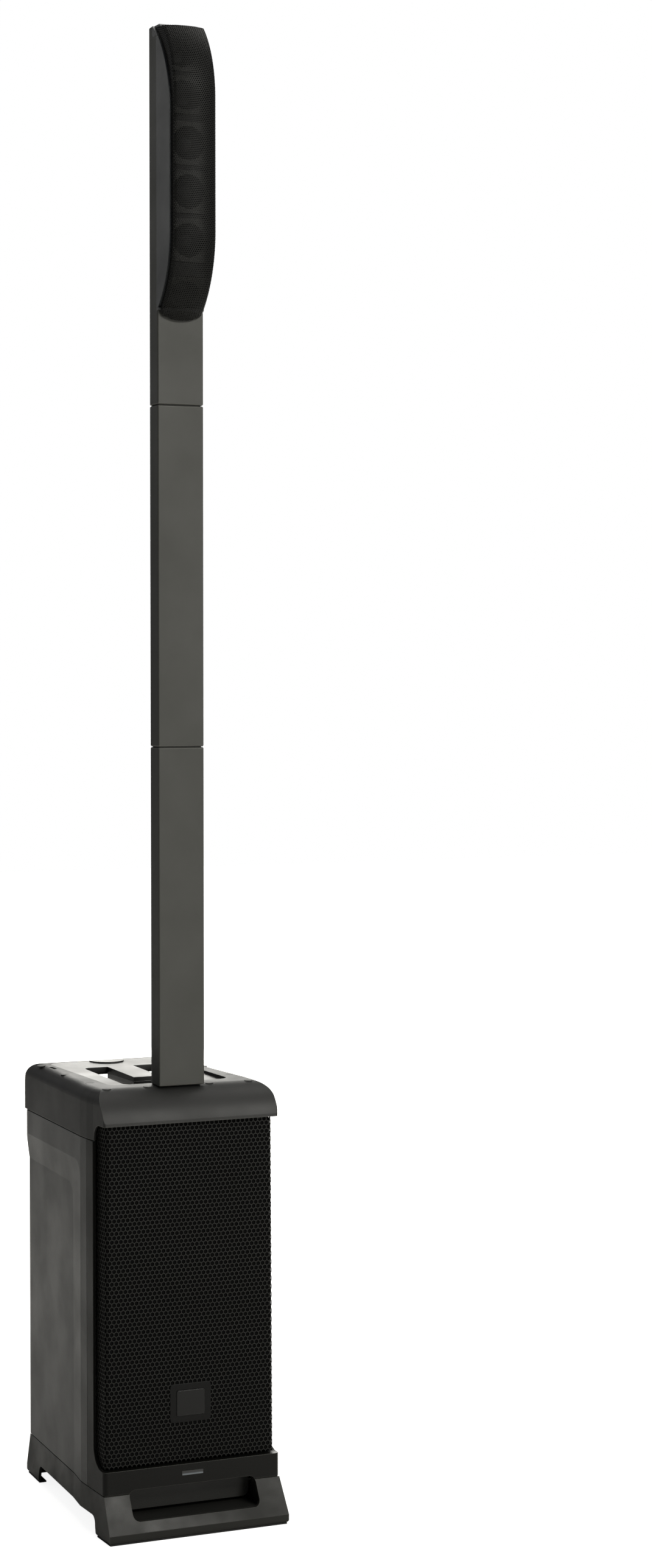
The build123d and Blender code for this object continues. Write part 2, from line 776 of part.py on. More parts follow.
bar_slope = tray_sink / (tray_back_y - tray_front_y)
bar_front_z = tray_floor + bar_slope * (bar_front_y - tray_front_y)
bar_back_z = tray_floor + bar_slope * (hole_back_y - tray_front_y)
collar_size = tuple(side + 2 * collar_wall for side in hole_size)
with BuildPart() as handle_tray:
    extrude(
        rounded(tray_under, tray_flange, tray_corner + tray_ledge, tray_flange_at),
        amount=-tray_plate,
    )
    extrude(
        rounded(tray_floor, tray_size, tray_corner, tray_at),
        amount=tray_sink,
        mode=Mode.SUBTRACT,
    )
    add(tray_floor_plate.part)
    extrude(
        rounded(collar_foot, collar_size, hole_corner + collar_wall, hole_at),
        amount=collar_height - tray_plate,
    )
    extrude(
        rounded(collar_foot, hole_size, hole_corner, hole_at),
        amount=2 * collar_height,
        mode=Mode.SUBTRACT,
    )
    # the collar is open at the back, towards the hand opening
    with Locations((0, hole_back_y, collar_foot)):
        Box(
            2 * hole_outer, 4 * collar_wall, 2 * (collar_height - tray_plate), mode=Mode.SUBTRACT
        )
    with BuildSketch(Plane.YZ):
        with BuildLine():
            Polyline(
                (bar_front_y, tray_floor - tray_plate),
                (bar_front_y, bar_front_z),
                (hole_back_y, bar_back_z),
                (hole_back_y, tray_floor - tray_plate),
                close=True,
            )
        make_face()
    extrude(amount=hole_inner, both=True)
save("handle_tray", handle_tray.part)

# The grip closes the bar from below and runs on to the collar's front wall.
grip_height = grip_drop - tray_plate
well_length = bar_front_y - hole_front_y
with BuildPart() as handle_grip:
    with BuildSketch(Plane.XZ.offset(-hole_back_y)) as grip_end:
        with Locations((0, tray_floor - tray_plate - grip_height / 2)):
            Rectangle(2 * hole_inner, grip_height)
        fillet(grip_end.vertices().group_by(Axis.Y)[0], grip_round)
    extrude(amount=hole_size[1])
    with Locations((0, hole_front_y + well_length / 2, tray_floor)):
        Box(2 * hole_inner, well_length, 2 * well_drop, mode=Mode.SUBTRACT)
save("handle_grip", handle_grip.part)

# Raised crescent at the back edge of the tray, a thumb stop for lifting.
lip_back_y = tray_back_y - tray_ledge
lip_foot = tray_floor + bar_slope * (lip_back_y - lip_depth - tray_front_y)
with BuildPart() as rear_lip:
    with BuildSketch(Plane.XY.offset(lip_foot)):
        with BuildLine():
            Line((-lip_chord / 2, lip_back_y), (lip_chord / 2, lip_back_y))
            ThreePointArc(
                (-lip_chord / 2, lip_back_y),
                (0, lip_back_y - lip_depth),
                (lip_chord / 2, lip_back_y),
            )
        make_face()
    extrude(amount=deck_z + lip_rise - lip_foot)
    add(tray_floor_plate.part, mode=Mode.SUBTRACT)
save("rear_lip", rear_lip.part)

# ---------------------------------------------------------------- column socket
with BuildPart() as column_socket:
    extrude(rounded(lower_z, socket_size, socket_corner, tongue_at), amount=-socket_depth)
    extrude(
        rounded(tray_under, socket_ears, socket_ears[1] / 3, tongue_at), amount=-socket_floor
    )
    extrude(
        rounded(lower_z, socket_inside, tongue_corner + tongue_fit, tongue_at),
        amount=socket_floor - socket_depth,
        mode=Mode.SUBTRACT,
    )
save("column_socket", column_socket.part)

# ---------------------------------------------------------------- woofer grille
# A drawn sheet-steel tray with its sides turned back between the strips. It
# rests on pegs that stand out from the baffle wall.
with BuildPart() as woofer_grille:
    with BuildSketch(Plane.XZ.offset(-grille_y)) as tray_face:
        with BuildLine():
            Polyline(
                (-grille_foot_half, grille_foot_z),
                (grille_foot_half, grille_foot_z),
                (grille_top_half, grille_top_z),
                (-grille_top_half, grille_top_z),
                close=True,
            )
        make_face()
        fillet(tray_face.vertices(), grille_bend)
    extrude(amount=-grille_depth)
    fillet(woofer_grille.faces().sort_by(Axis.Y)[0].edges(), grille_bend * 0.9)
    offset(amount=-grille_sheet, openings=woofer_grille.faces().sort_by(Axis.Y)[-1])
    with BuildSketch(Plane.XZ.offset(-grille_y)):
        with Locations((0, band_top + badge_height)):
            Rectangle(badge_pad[0], badge_pad[1])
    extrude(amount=badge_pad[2])
save("woofer_grille", woofer_grille.part)

with BuildPart() as badge_plate:
    with BuildSketch(Plane.XZ.offset(-grille_y + badge_pad[2])):
        with Locations((0, band_top + badge_height)):
            RectangleRounded(badge_size[0], badge_size[1], badge_size[2])
    extrude(amount=badge_size[2])
    chamfer(badge_plate.faces().sort_by(Axis.Y)[0].edges(), badge_size[2] / 3)
save("badge_plate", badge_plate.part)

# ---------------------------------------------------------------- woofer
# Every woofer piece is turned about one axis. The cone, dust cap and coil
# move together; the surround and the spider give between them and the frame.
woofer_axis = Axis((0, 0, woofer_z), (0, 1, 0))
basket_back_y = baffle_y + woofer_depth
gap_inner_r = woofer_neck_r - woofer_sheet / 2 - woofer_coil_fit
gap_outer_r = woofer_neck_r + woofer_sheet / 2 + woofer_coil_fit
flange_y = baffle_y - woofer_flange
roll_inner_r = woofer_cone_r + woofer_coil_fit
roll_mid_r = roll_inner_r + woofer_roll_r
roll_outer_r = roll_mid_r + woofer_roll_r
cone_front_y = flange_y - woofer_roll_r / 3
cone_back_y = cone_front_y + woofer_cone_depth
basket_root_y = baffle_y + 2 * woofer_flange
basket_slope = (woofer_rear_r - woofer_cut_r) / (basket_back_y - basket_root_y)
woofer_back = Plane(origin=(0, basket_back_y, woofer_z), x_dir=(1, 0, 0), z_dir=(0, -1, 0))


def turned(points):
    """Closed ring or disc, turned about the woofer's axis from (y, radius) points."""
    with BuildSketch(Plane.YZ) as half:
        with BuildLine():
            Polyline(*[(y, woofer_z + r) for y, r in points], close=True)
        make_face()
    return half.sketch


with BuildPart() as woofer_frame:
    rim_r = woofer_cut_r - woofer_sheet
    revolve(
        turned([
            (flange_y, roll_outer_r - woofer_sheet),
            (flange_y, woofer_frame_r),
            (baffle_y, woofer_frame_r),
            (baffle_y, rim_r),
            (basket_root_y, rim_r),
            (basket_back_y, woofer_rear_r),
            (basket_back_y, gap_outer_r),
            (basket_back_y - 2 * woofer_sheet, gap_outer_r),
            (basket_back_y - 2 * woofer_sheet, woofer_rear_r - 2 * woofer_sheet),
            (basket_root_y, rim_r - 2 * woofer_sheet),
            (baffle_y, roll_outer_r - woofer_sheet),
        ]),
        axis=woofer_axis,
    )
    with BuildSketch(woofer_back):
        with PolarLocations((woofer_rear_r + rim_r) / 2, woofer_windows):
            Rectangle((rim_r - woofer_rear_r) * 0.7, woofer_rear_r * 0.8)
    extrude(amount=woofer_depth * 0.7, mode=Mode.SUBTRACT)
save("woofer_frame", woofer_frame.part)

with BuildPart() as woofer_surround:
    with BuildSketch(Plane.YZ) as roll:
        with Locations((flange_y, woofer_z + roll_mid_r)):
            Circle(woofer_roll_r)
            Circle(woofer_roll_r - woofer_sheet, mode=Mode.SUBTRACT)
        with Locations((flange_y + woofer_roll_r, woofer_z + roll_mid_r)):
            Rectangle(2 * woofer_roll_r, 4 * woofer_roll_r, mode=Mode.SUBTRACT)
        with Locations((flange_y - woofer_sheet / 2, woofer_z + roll_outer_r + woofer_flange / 2)):
            Rectangle(woofer_sheet, woofer_flange + 2 * woofer_sheet)
    revolve(axis=woofer_axis)
save("woofer_surround", woofer_surround.part)

with BuildPart() as woofer_cone:
    cone_lip_y = cone_front_y + woofer_sheet
    revolve(
        turned([
            (cone_front_y, woofer_cone_r),
            (cone_lip_y, woofer_cone_r),
            (cone_back_y + woofer_sheet, woofer_neck_r),
            (cone_back_y, woofer_neck_r - woofer_sheet / 2),
            (cone_back_y - woofer_sheet / 2, woofer_neck_r),
        ]),
        axis=woofer_axis,
    )
    revolve(
        turned([
            (cone_back_y, woofer_neck_r - woofer_sheet / 2),
            (cone_back_y, woofer_neck_r + woofer_sheet / 2),
            (basket_back_y + woofer_magnet_depth / 2, woofer_neck_r + woofer_sheet / 2),
            (basket_back_y + woofer_magnet_depth / 2, woofer_neck_r - woofer_sheet / 2),
        ]),
        axis=woofer_axis,
    )
save("woofer_cone", woofer_cone.part)

# The dust cap is a shallow dome that lands on the cone.
cone_slope = woofer_cone_depth / (woofer_cone_r - woofer_neck_r)
dust_foot_y = cone_front_y + cone_slope * (woofer_cone_r - woofer_dust_r) - woofer_sheet / 2
dust_rise = woofer_dust_r / 3
dust_radius = (woofer_dust_r**2 + dust_rise**2) / (2 * dust_rise)
dust_mid_y = dust_foot_y - dust_rise + dust_radius
with BuildPart() as woofer_dust_cap:
    with BuildSketch(Plane.YZ):
        with Locations((dust_mid_y, woofer_z)):
            Circle(dust_radius)
            Circle(dust_radius - woofer_sheet, mode=Mode.SUBTRACT)
        with Locations((dust_foot_y - dust_rise, woofer_z)):
            Rectangle(
                dust_rise, woofer_dust_r, align=(Align.MIN, Align.MIN), mode=Mode.INTERSECT
            )
    revolve(axis=woofer_axis)
save("woofer_dust_cap", woofer_dust_cap.part)

spider_y = basket_back_y - woofer_depth / 4
spider_r = rim_r + basket_slope * (spider_y - basket_root_y) - 4 * woofer_sheet
with BuildPart() as woofer_spider:
    folds = 6
    fold_run = (spider_r - gap_outer_r) / folds
    crest = [
        (spider_y + woofer_sheet * (-1) ** i, gap_outer_r + i * fold_run)
        for i in range(folds + 1)
    ]
    trough = [(y + woofer_sheet, r) for y, r in reversed(crest)]
    revolve(turned(crest + trough), axis=woofer_axis)
save("woofer_spider", woofer_spider.part)

magnet_back_y = basket_back_y + woofer_magnet_depth
with BuildPart() as woofer_magnet:
    revolve(
        turned([
            (basket_back_y, gap_outer_r + 3 * woofer_sheet),
            (basket_back_y, woofer_magnet_r),
            (magnet_back_y, woofer_magnet_r),
            (magnet_back_y, gap_outer_r + 3 * woofer_sheet),
        ]),
        axis=woofer_axis,
    )
save("woofer_magnet", woofer_magnet.part)

with BuildPart() as woofer_pole:
    revolve(
        turned([
            (basket_back_y - 2 * woofer_sheet, 0),
            (basket_back_y - 2 * woofer_sheet, gap_inner_r),
            (magnet_back_y, gap_inner_r),
            (magnet_back_y, woofer_magnet_r - woofer_flange),
            (magnet_back_y + woofer_flange, woofer_magnet_r - woofer_flange),
            (magnet_back_y + woofer_flange, 0),
        ]),
        axis=woofer_axis,
    )
save("woofer_pole", woofer_pole.part)

# ---------------------------------------------------------------- column
# Two equal tubes stand on each other. Each has a plug with a tongue at its
# foot and a socket in its top; the array head plugs in the same way.
contact_places = [(contact_pitch * (i - 1.5), tongue_at[1]) for i in range(4)]


def plug_piece(foot):
    """End piece in a tube's foot, with the tongue that goes into the socket below."""
    with BuildPart() as piece:
        extrude(column_section(foot, column_wall + insert_fit), amount=insert_depth)
        extrude(rounded(foot, tongue_size, tongue_corner, tongue_at), amount=-tongue_length)
        chamfer(piece.faces().sort_by(Axis.Z)[0].edges(), joint_chamfer)
        with BuildSketch(Plane.XY.offset(foot - tongue_length)):
            with Locations(*contact_places):
                Circle(contact_radius)
        extrude(amount=contact_length, mode=Mode.SUBTRACT)
    return piece.part


def contact_pins(foot):
    """Row of contacts in the tip of a tongue, reaching the floor of the socket."""
    with BuildPart() as pins:
        with BuildSketch(Plane.XY.offset(foot - tongue_length + contact_length)):
            with Locations(*contact_places):
                Circle(contact_radius)
        extrude(amount=-contact_length - tongue_fit)
    return pins.part


def socket_piece(top):
    """End piece in a tube's top, which takes the tongue of the piece above."""
    depth = tongue_length + tongue_fit
    with BuildPart() as piece:
        extrude(column_section(top, column_wall + insert_fit), amount=-depth - socket_floor)
        extrude(
            rounded(top, socket_inside, tongue_corner + tongue_fit, tongue_at),
            amount=-depth,
            mode=Mode.SUBTRACT,
        )
    return piece.part


for spacer, foot in (("lower_spacer", lower_z), ("upper_spacer", upper_z)):
    with BuildPart() as tube:
        extrude(column_section(foot), amount=spacer_length - joint_gap)
        chamfer(
            tube.faces().sort_by(Axis.Z)[0].edges() + tube.faces().sort_by(Axis.Z)[-1].edges(),
            joint_chamfer,
        )
        extrude(column_section(foot, column_wall), amount=spacer_length, mode=Mode.SUBTRACT)
    save(f"{spacer}_tube", tube.part)
    save(f"{spacer}_plug", plug_piece(foot))
    save(f"{spacer}_contacts", contact_pins(foot))
    save(f"{spacer}_socket", socket_piece(foot + spacer_length))

# ---------------------------------------------------------------- array head
# The spine carries the column's section on as a neck, and stands behind the
# bulged front shell above it. The shell's front edge is a line between two
# equal arcs, and the crowned grille follows that same curve.
half_column = column_width / 2
bulge_z = head_z + neck_length
arc_drop = column_front_y - bulge_y
arc_run = sqrt(bulge_radius**2 - (bulge_radius - arc_drop) ** 2)
spine_cap_z = head_top - spine_cap
bulge_low = (bulge_y, bulge_z + arc_run)
bulge_high = (bulge_y, head_top - arc_run)
cheek_y = bulge_y + cheek_step
cheek_low_z = bulge_z + arc_run
cheek_top_y = spine_y + spine_jog
cheek_high_z = head_top - sqrt(cheek_radius**2 - (cheek_radius + cheek_y - cheek_top_y) ** 2)

with BuildPart() as head_spine:
    extrude(column_section(head_z), amount=head_length)
    chamfer(head_spine.faces().sort_by(Axis.Z)[0].edges(), joint_chamfer)
    chamfer(head_spine.faces().sort_by(Axis.Z)[-1].edges(), joint_chamfer)
    extrude(
        column_section(head_z, column_wall), amount=head_length - column_wall, mode=Mode.SUBTRACT
    )
    with BuildSketch(Plane.YZ):
        with BuildLine():
            Polyline(
                (-base_depth, bulge_z),
                (spine_y, bulge_z),
                (spine_y, spine_cap_z),
                (spine_y + spine_jog, spine_cap_z),
                (spine_y + spine_jog, head_top),
                (-base_depth, head_top),
                close=True,
            )
        make_face()
    extrude(amount=column_width, both=True, mode=Mode.SUBTRACT)
save("head_spine", head_spine.part)


def bulge_side(inset):
    """Side view of the front shell, or of the space inside it."""
    radius = bulge_radius - inset
    low, high = (bulge_low[0] + inset, bulge_low[1]), (bulge_high[0] + inset, bulge_high[1])
    foot, top = bulge_z + inset, head_top - inset
    middle_y = bulge_y + bulge_radius
    foot_y = middle_y - sqrt(radius**2 - (low[1] - foot) ** 2)
    with BuildSketch(Plane.YZ) as side:
        with BuildLine():
            RadiusArc((foot_y, foot), low, radius)
            Line(low, high)
            RadiusArc(high, (foot_y, top), radius)
            Polyline(
                (foot_y, top),
                (spine_y + spine_jog, top),
                (spine_y + spine_jog, spine_cap_z),
                (spine_y, spine_cap_z),
                (spine_y, foot),
                (foot_y, foot),
            )
        make_face()
    return side.sketch


def before_cheeks(back, foot, top, lip_foot=None):
    """Side view of what lies in front of the side walls' edge, the edge moved back."""
    edge_y = cheek_y + back
    low_y = edge_y + bulge_radius - sqrt(bulge_radius**2 - (cheek_low_z - foot) ** 2)
    high_y = edge_y + cheek_radius - sqrt(cheek_radius**2 - (top - cheek_high_z) ** 2)
    front = [(-base_depth, top), (-base_depth, foot)]
    if lip_foot:
        lip_y = column_front_y - head_grille_lift
        front = [(-base_depth, top), (-base_depth, lip_foot), (lip_y, lip_foot), (lip_y, foot)]
    with BuildSketch(Plane.YZ) as side:
        with BuildLine():
            RadiusArc((low_y, foot), (edge_y, cheek_low_z), bulge_radius)
            Line((edge_y, cheek_low_z), (edge_y, cheek_high_z))
            RadiusArc((edge_y, cheek_high_z), (high_y, top), cheek_radius)
            Polyline((high_y, top), *front, (low_y, foot))
        make_face()
    return side.sketch


shell_inside = half_column - shell_wall
with BuildPart() as cheek_cut:
    extrude(before_cheeks(0, bulge_z + shell_wall, head_top), amount=base_width, both=True)
    with Locations((0, bulge_y, (bulge_z + head_top) / 2)):
        Box(2 * shell_inside, base_depth, head_length, mode=Mode.SUBTRACT)

with BuildPart() as head_shell:
    extrude(bulge_side(0), amount=half_column, both=True)
    add(cheek_cut.part, mode=Mode.SUBTRACT)
    # the space for baffle and drivers is open to the grille and to the spine
    with BuildSketch(Plane.XY.offset(bulge_z + shell_wall)):
        with Locations((0, bulge_y)):
            Rectangle(2 * shell_inside, base_depth)
    extrude(amount=head_top - bulge_z - 2 * shell_wall, mode=Mode.SUBTRACT)
save("head_shell", head_shell.part)

# Crowned perforated front: one folded section swept along the bulge. It is cut
# level and closed below the shell's top, and ends in a lip in front of the neck.
lip_end_y = bulge_y + bulge_radius - sqrt(bulge_radius**2 - (arc_run + head_grille_run) ** 2)


def swept_crown(inset, back):
    """Crowned section swept along the bulge, closed in by the inset."""
    half, bend = shell_inside - inset, shell_inside - head_grille_bend
    shoulder = head_grille_proud - head_grille_bend
    low = 2 * (column_front_y - cheek_top_y - head_grille_tuck) - back
    with BuildPart() as crown:
        with BuildLine(Plane.YZ) as bulge_path:
            RadiusArc((lip_end_y, bulge_z - head_grille_run), bulge_low, bulge_radius)
            Line(bulge_low, bulge_high)
            RadiusArc(bulge_high, (lip_end_y, head_top + head_grille_run), bulge_radius)
        path = bulge_path.wires()[0]
        with BuildSketch(Plane(origin=path @ 0, x_dir=(-1, 0, 0), z_dir=path % 0)):
            with BuildLine():
                Polyline(
                    (bend, head_grille_proud - inset),
                    (half, shoulder),
                    (half, low),
                    (-half, low),
                    (-half, shoulder),
                    (-bend, head_grille_proud - inset),
                )
                ThreePointArc(
                    (-bend, head_grille_proud - inset),
                    (0, head_grille_proud + head_grille_crown - inset),
                    (bend, head_grille_proud - inset),
                )
            make_face()
        sweep(path=path)
        extrude(
            before_cheeks(
                head_grille_tuck + back,
                bulge_z + head_grille_margin - back,
                head_top - head_grille_margin - inset,
                bulge_z - head_grille_run,
            ),
            amount=base_width,
            both=True,
            mode=Mode.INTERSECT,
        )
    return crown.part


with BuildPart() as head_grille:
    add(swept_crown(0, 0))
    add(swept_crown(head_grille_sheet, head_grille_margin), mode=Mode.SUBTRACT)
save("head_grille", head_grille.part)

# The baffle is folded into three facets, so the drivers spread their sound
# down to the front rows and level to the back.
baffle_foot = (facet_root_y, bulge_z + shell_wall)
baffle_low = (head_baffle_y, head_z + facet_low)
baffle_high = (head_baffle_y, head_z + facet_high)
baffle_top = (facet_root_y, head_top - shell_wall)


def facet_plane(start, along, distance):
    """Plane on a baffle facet, facing out of the head, at a distance along it."""
    y, z = start[0] + along[0] * distance, start[1] + along[1] * distance
    return Plane(origin=(0, y, z), x_dir=(1, 0, 0), z_dir=(0, -along[1], along[0]))


def direction(start, end):
    length = hypot(end[0] - start[0], end[1] - start[1])
    return ((end[0] - start[0]) / length, (end[1] - start[1]) / length)


low_along = direction(baffle_foot, baffle_low)
high_along = direction(baffle_high, baffle_top)
low_length = hypot(baffle_low[0] - baffle_foot[0], baffle_low[1] - baffle_foot[1])
driver_planes = [facet_plane(baffle_foot, low_along, low_length / 2)]
driver_planes += [
    facet_plane((head_baffle_y, head_z), (0, 1), middle_first + driver_pitch * i)
    for i in range(middle_drivers)
]
driver_planes += [
    facet_plane(baffle_high, high_along, driver_pitch * (i + 0.5)) for i in range(upper_drivers)
]

with BuildPart() as head_baffle:
    fold = [baffle_foot, baffle_low, baffle_high, baffle_top]
    with BuildSketch(Plane.YZ):
        with BuildLine():
            Polyline(*fold, *[(y + head_baffle_wall, z) for y, z in reversed(fold)], close=True)
        make_face()
    extrude(amount=shell_inside, both=True)
    for plane in driver_planes:
        with BuildSketch(plane.offset(head_baffle_wall)):
            Circle(driver_cone)
        extrude(amount=-3 * head_baffle_wall, mode=Mode.SUBTRACT)
save("head_baffle", head_baffle.part)

# Each driver: a square plate with a basket behind it, a cone in its own roll,
# and a magnet. The plates stand on the baffle, the baskets pass through it.
driver_fit = 0.3
basket_r = driver_cone - driver_fit
with BuildPart() as one_frame:
    with BuildSketch(Plane.XY):
        RectangleRounded(driver_frame, driver_frame, driver_plate)
    extrude(amount=driver_plate)
    with BuildSketch(Plane.XY):
        Circle(basket_r)
    extrude(amount=-driver_plate)
    with BuildSketch(Plane.XY.offset(-driver_plate)):
        Circle(basket_r)
    with BuildSketch(Plane.XY.offset(-driver_depth)):
        Circle(driver_magnet)
    loft(ruled=True)
    with BuildSketch(Plane.XY.offset(driver_plate)):
        Circle(basket_r - driver_plate / 2)
    with BuildSketch(Plane.XY.offset(-driver_depth + driver_plate)):
        Circle(driver_magnet - driver_plate)
    loft(ruled=True, mode=Mode.SUBTRACT)

with BuildPart() as one_cone:
    cone_top = driver_plate * 0.6
    cone_rim = basket_r - driver_plate / 2 - 3 * driver_fit
    with BuildSketch(Plane.XZ):
        with BuildLine():
            Polyline(
                (0, -driver_depth * 0.35),
                (driver_magnet * 0.5, -driver_depth * 0.5),
                (cone_rim * 0.8, -driver_plate),
                (cone_rim, cone_top),
                (cone_rim, cone_top - 1),
                (cone_rim * 0.8, -driver_plate - 1.5),
                (driver_magnet * 0.5, -driver_depth * 0.5 - 1),
                (driver_magnet * 0.5, -driver_depth + driver_plate),
                (0, -driver_depth + driver_plate),
                close=True,
            )
        make_face()
    revolve(axis=Axis.Z)

with BuildPart() as one_magnet:
    with BuildSketch(Plane.XY.offset(-driver_depth)):
        Circle(driver_magnet)
    extrude(amount=-driver_magnet_depth)

for name, piece in (
    ("driver_frames", one_frame),
    ("driver_cones", one_cone),
    ("driver_magnets", one_magnet),
):
    save(name, Compound(children=[plane.location * piece.part for plane in driver_planes]))

save("head_plug", plug_piece(head_z))
save("head_contacts", contact_pins(head_z))

# ---------------------------------------------------------------- rear panel
# A tray let into the shell from behind carries the controls and the sockets.
panel_back = Plane(origin=(0, panel_y, panel_z), x_dir=(-1, 0, 0), z_dir=(0, 1, 0))
panel_size = (panel_opening[0] - 2 * panel_fit, panel_opening[1] - 2 * panel_fit)
panel_middle = (0, panel_height / 2)
knob_places = [(x, knob_row) for x in knob_x]
button_places = [(x, button_row) for x in knob_x]
jack_places = [(x, jack_row) for x in jack_x]
aux_places = [(x, aux_row) for x in aux_x]
button_hole = (button_size[0] + 2 * button_fit, button_size[1] + 2 * button_fit)
with BuildPart() as control_panel:
    with BuildSketch(panel_back.offset(-panel_plate)):
        with Locations(panel_middle):
            RectangleRounded(*panel_size, panel_corner)
    extrude(amount=panel_plate + panel_sink)
    with BuildSketch(panel_back):
        with Locations(panel_middle):
            RectangleRounded(
                panel_size[0] - 2 * panel_plate,
                panel_size[1] - 2 * panel_plate,
                panel_corner - panel_plate,
            )
    extrude(amount=panel_sink, mode=Mode.SUBTRACT)
    with BuildSketch(rear_plane.offset(-body_wall)):
        with Locations((0, panel_mid_z)):
            RectangleRounded(
                panel_size[0] + 2 * panel_flange, panel_size[1] + 2 * panel_flange, panel_corner
            )
            RectangleRounded(*panel_size, panel_corner, mode=Mode.SUBTRACT)
    extrude(amount=-panel_plate)
    with BuildSketch(panel_back):
        with Locations(*knob_places):
            Circle(shaft_radius + shaft_fit)
        with Locations(*button_places):
            Rectangle(*button_hole)
        with Locations(*jack_places, (0, output_row)):
            Circle(jack_body_r)
        with Locations(*aux_places):
            Circle(aux_body_r)
    extrude(amount=-panel_plate, mode=Mode.SUBTRACT)
save("control_panel", control_panel.part)

# Each knob is pressed on its own control shaft, which turns in the panel.
for name, place in zip(knob_names, knob_places):
    with BuildPart() as knob:
        with BuildSketch(panel_back.offset(knob_stand)):
            with Locations(place):
                Circle(knob_radius)
        extrude(amount=knob_length, taper=knob_taper)
        fillet(knob.faces().sort_by(Axis.Y)[-1].edges(), knob_stand)
        with BuildSketch(panel_back.offset(knob_stand + knob_length)):
            with Locations((place[0], place[1] + knob_radius / 2)):
                Rectangle(knob_mark, knob_radius)
        extrude(amount=-knob_mark, mode=Mode.SUBTRACT)
        with BuildSketch(panel_back.offset(knob_stand)):
            with Locations(place):
                Circle(shaft_radius)
        extrude(amount=-knob_stand - 2 * panel_plate)
    save(name, knob.part)

for name, place in zip(button_names, button_places):
    with BuildPart() as button:
        with BuildSketch(panel_back.offset(button_size[2])):
            with Locations(place):
                Rectangle(button_size[0], button_size[1])
        extrude(amount=-button_size[2] - panel_plate)
        fillet(button.faces().sort_by(Axis.Y)[-1].edges(), button_size[2] / 5)
        with BuildSketch(panel_back.offset(-panel_plate)):
            with Locations(place):
                Rectangle(button_size[0] + 2 * button_lug, button_size[1] + 2 * button_lug)
        extrude(amount=-button_lug)
    save(name, button.part)

with BuildPart() as combo_jacks:
    with BuildSketch(panel_back):
        with Locations(*jack_places):
            RectangleRounded(*jack_flange, jack_flange_plate)
    extrude(amount=jack_flange_plate)
    with BuildSketch(panel_back):
        with Locations(*jack_places):
            Circle(jack_body_r)
    extrude(amount=-jack_depth)
    with BuildSketch(panel_back.offset(jack_flange_plate)):
        with Locations(*jack_places):
            Circle(jack_cup_r)
    extrude(amount=-jack_cup_depth, mode=Mode.SUBTRACT)
    with BuildSketch(panel_back.offset(jack_flange_plate)):
        with Locations(*jack_places):
            Circle(jack_bore_r)
    extrude(amount=-jack_depth, mode=Mode.SUBTRACT)
save("combo_jacks", combo_jacks.part)

with BuildPart() as output_socket:
    with BuildSketch(panel_back):
        with Locations((0, output_row)):
            RectangleRounded(*jack_flange, jack_flange_plate)
    extrude(amount=jack_flange_plate)
    with BuildSketch(panel_back):
        with Locations((0, output_row)):
            Circle(jack_body_r)
    extrude(amount=-jack_depth)
    with BuildSketch(panel_back.offset(jack_flange_plate)):
        with Locations((0, output_row)):
            Circle(jack_cup_r)
    extrude(amount=-2 * jack_cup_depth, mode=Mode.SUBTRACT)
save("output_socket", output_socket.part)

with BuildPart() as aux_jacks:
    with BuildSketch(panel_back):
        with Locations(*aux_places):
            RegularPolygon(aux_body_r * 1.25, 6)
    extrude(amount=jack_flange_plate)
    with BuildSketch(panel_back):
        with Locations(*aux_places):
            Circle(aux_body_r)
    extrude(amount=-jack_depth)
    with BuildSketch(panel_back.offset(jack_flange_plate)):
        with Locations(*aux_places):
            Circle(aux_bore_r)
    extrude(amount=-jack_depth, mode=Mode.SUBTRACT)
save("aux_jacks", aux_jacks.part)

# Mains inlet and power switch in the lower part of the shell's back.
inlet_back = Plane(origin=(0, back_y, inlet_z), x_dir=(-1, 0, 0), z_dir=(0, 1, 0))
with BuildPart() as power_inlet:
    with BuildSketch(inlet_back):
        with Locations((-inlet_x, 0)):
            RectangleRounded(*inlet_flange, inlet_corner)
    extrude(amount=jack_flange_plate)
    with BuildSketch(inlet_back):
        with Locations((-inlet_x, 0)):
            Rectangle(*inlet_body)
    extrude(amount=-inlet_depth)
    with BuildSketch(inlet_back.offset(jack_flange_plate)):
        with Locations((-inlet_x, 0)):
            RectangleRounded(*inlet_mouth, inlet_corner)
    extrude(amount=-inlet_mouth_depth, mode=Mode.SUBTRACT)
save("power_inlet", power_inlet.part)

rocker_well = (rocker_size[0] + 2 * button_fit, rocker_size[1] + 6 * button_fit)
with BuildPart() as switch_frame:
    with BuildSketch(inlet_back):
        with Locations((-rocker_x, 0)):
            RectangleRounded(*rocker_frame, jack_flange_plate)
    extrude(amount=jack_flange_plate)
    with BuildSketch(inlet_back):
        with Locations((-rocker_x, 0)):
            Rectangle(*rocker_body)
    extrude(amount=-inlet_mouth_depth)
    with BuildSketch(inlet_back.offset(jack_flange_plate)):
        with Locations((-rocker_x, 0)):
            Rectangle(*rocker_well)
    extrude(amount=-inlet_mouth_depth, mode=Mode.SUBTRACT)
    with Locations(Location((rocker_x, rocker_y, inlet_z), (0, 90, 0))):
        Cylinder(rocker_radius + shaft_fit, rocker_pin, mode=Mode.SUBTRACT)
save("switch_frame", switch_frame.part)

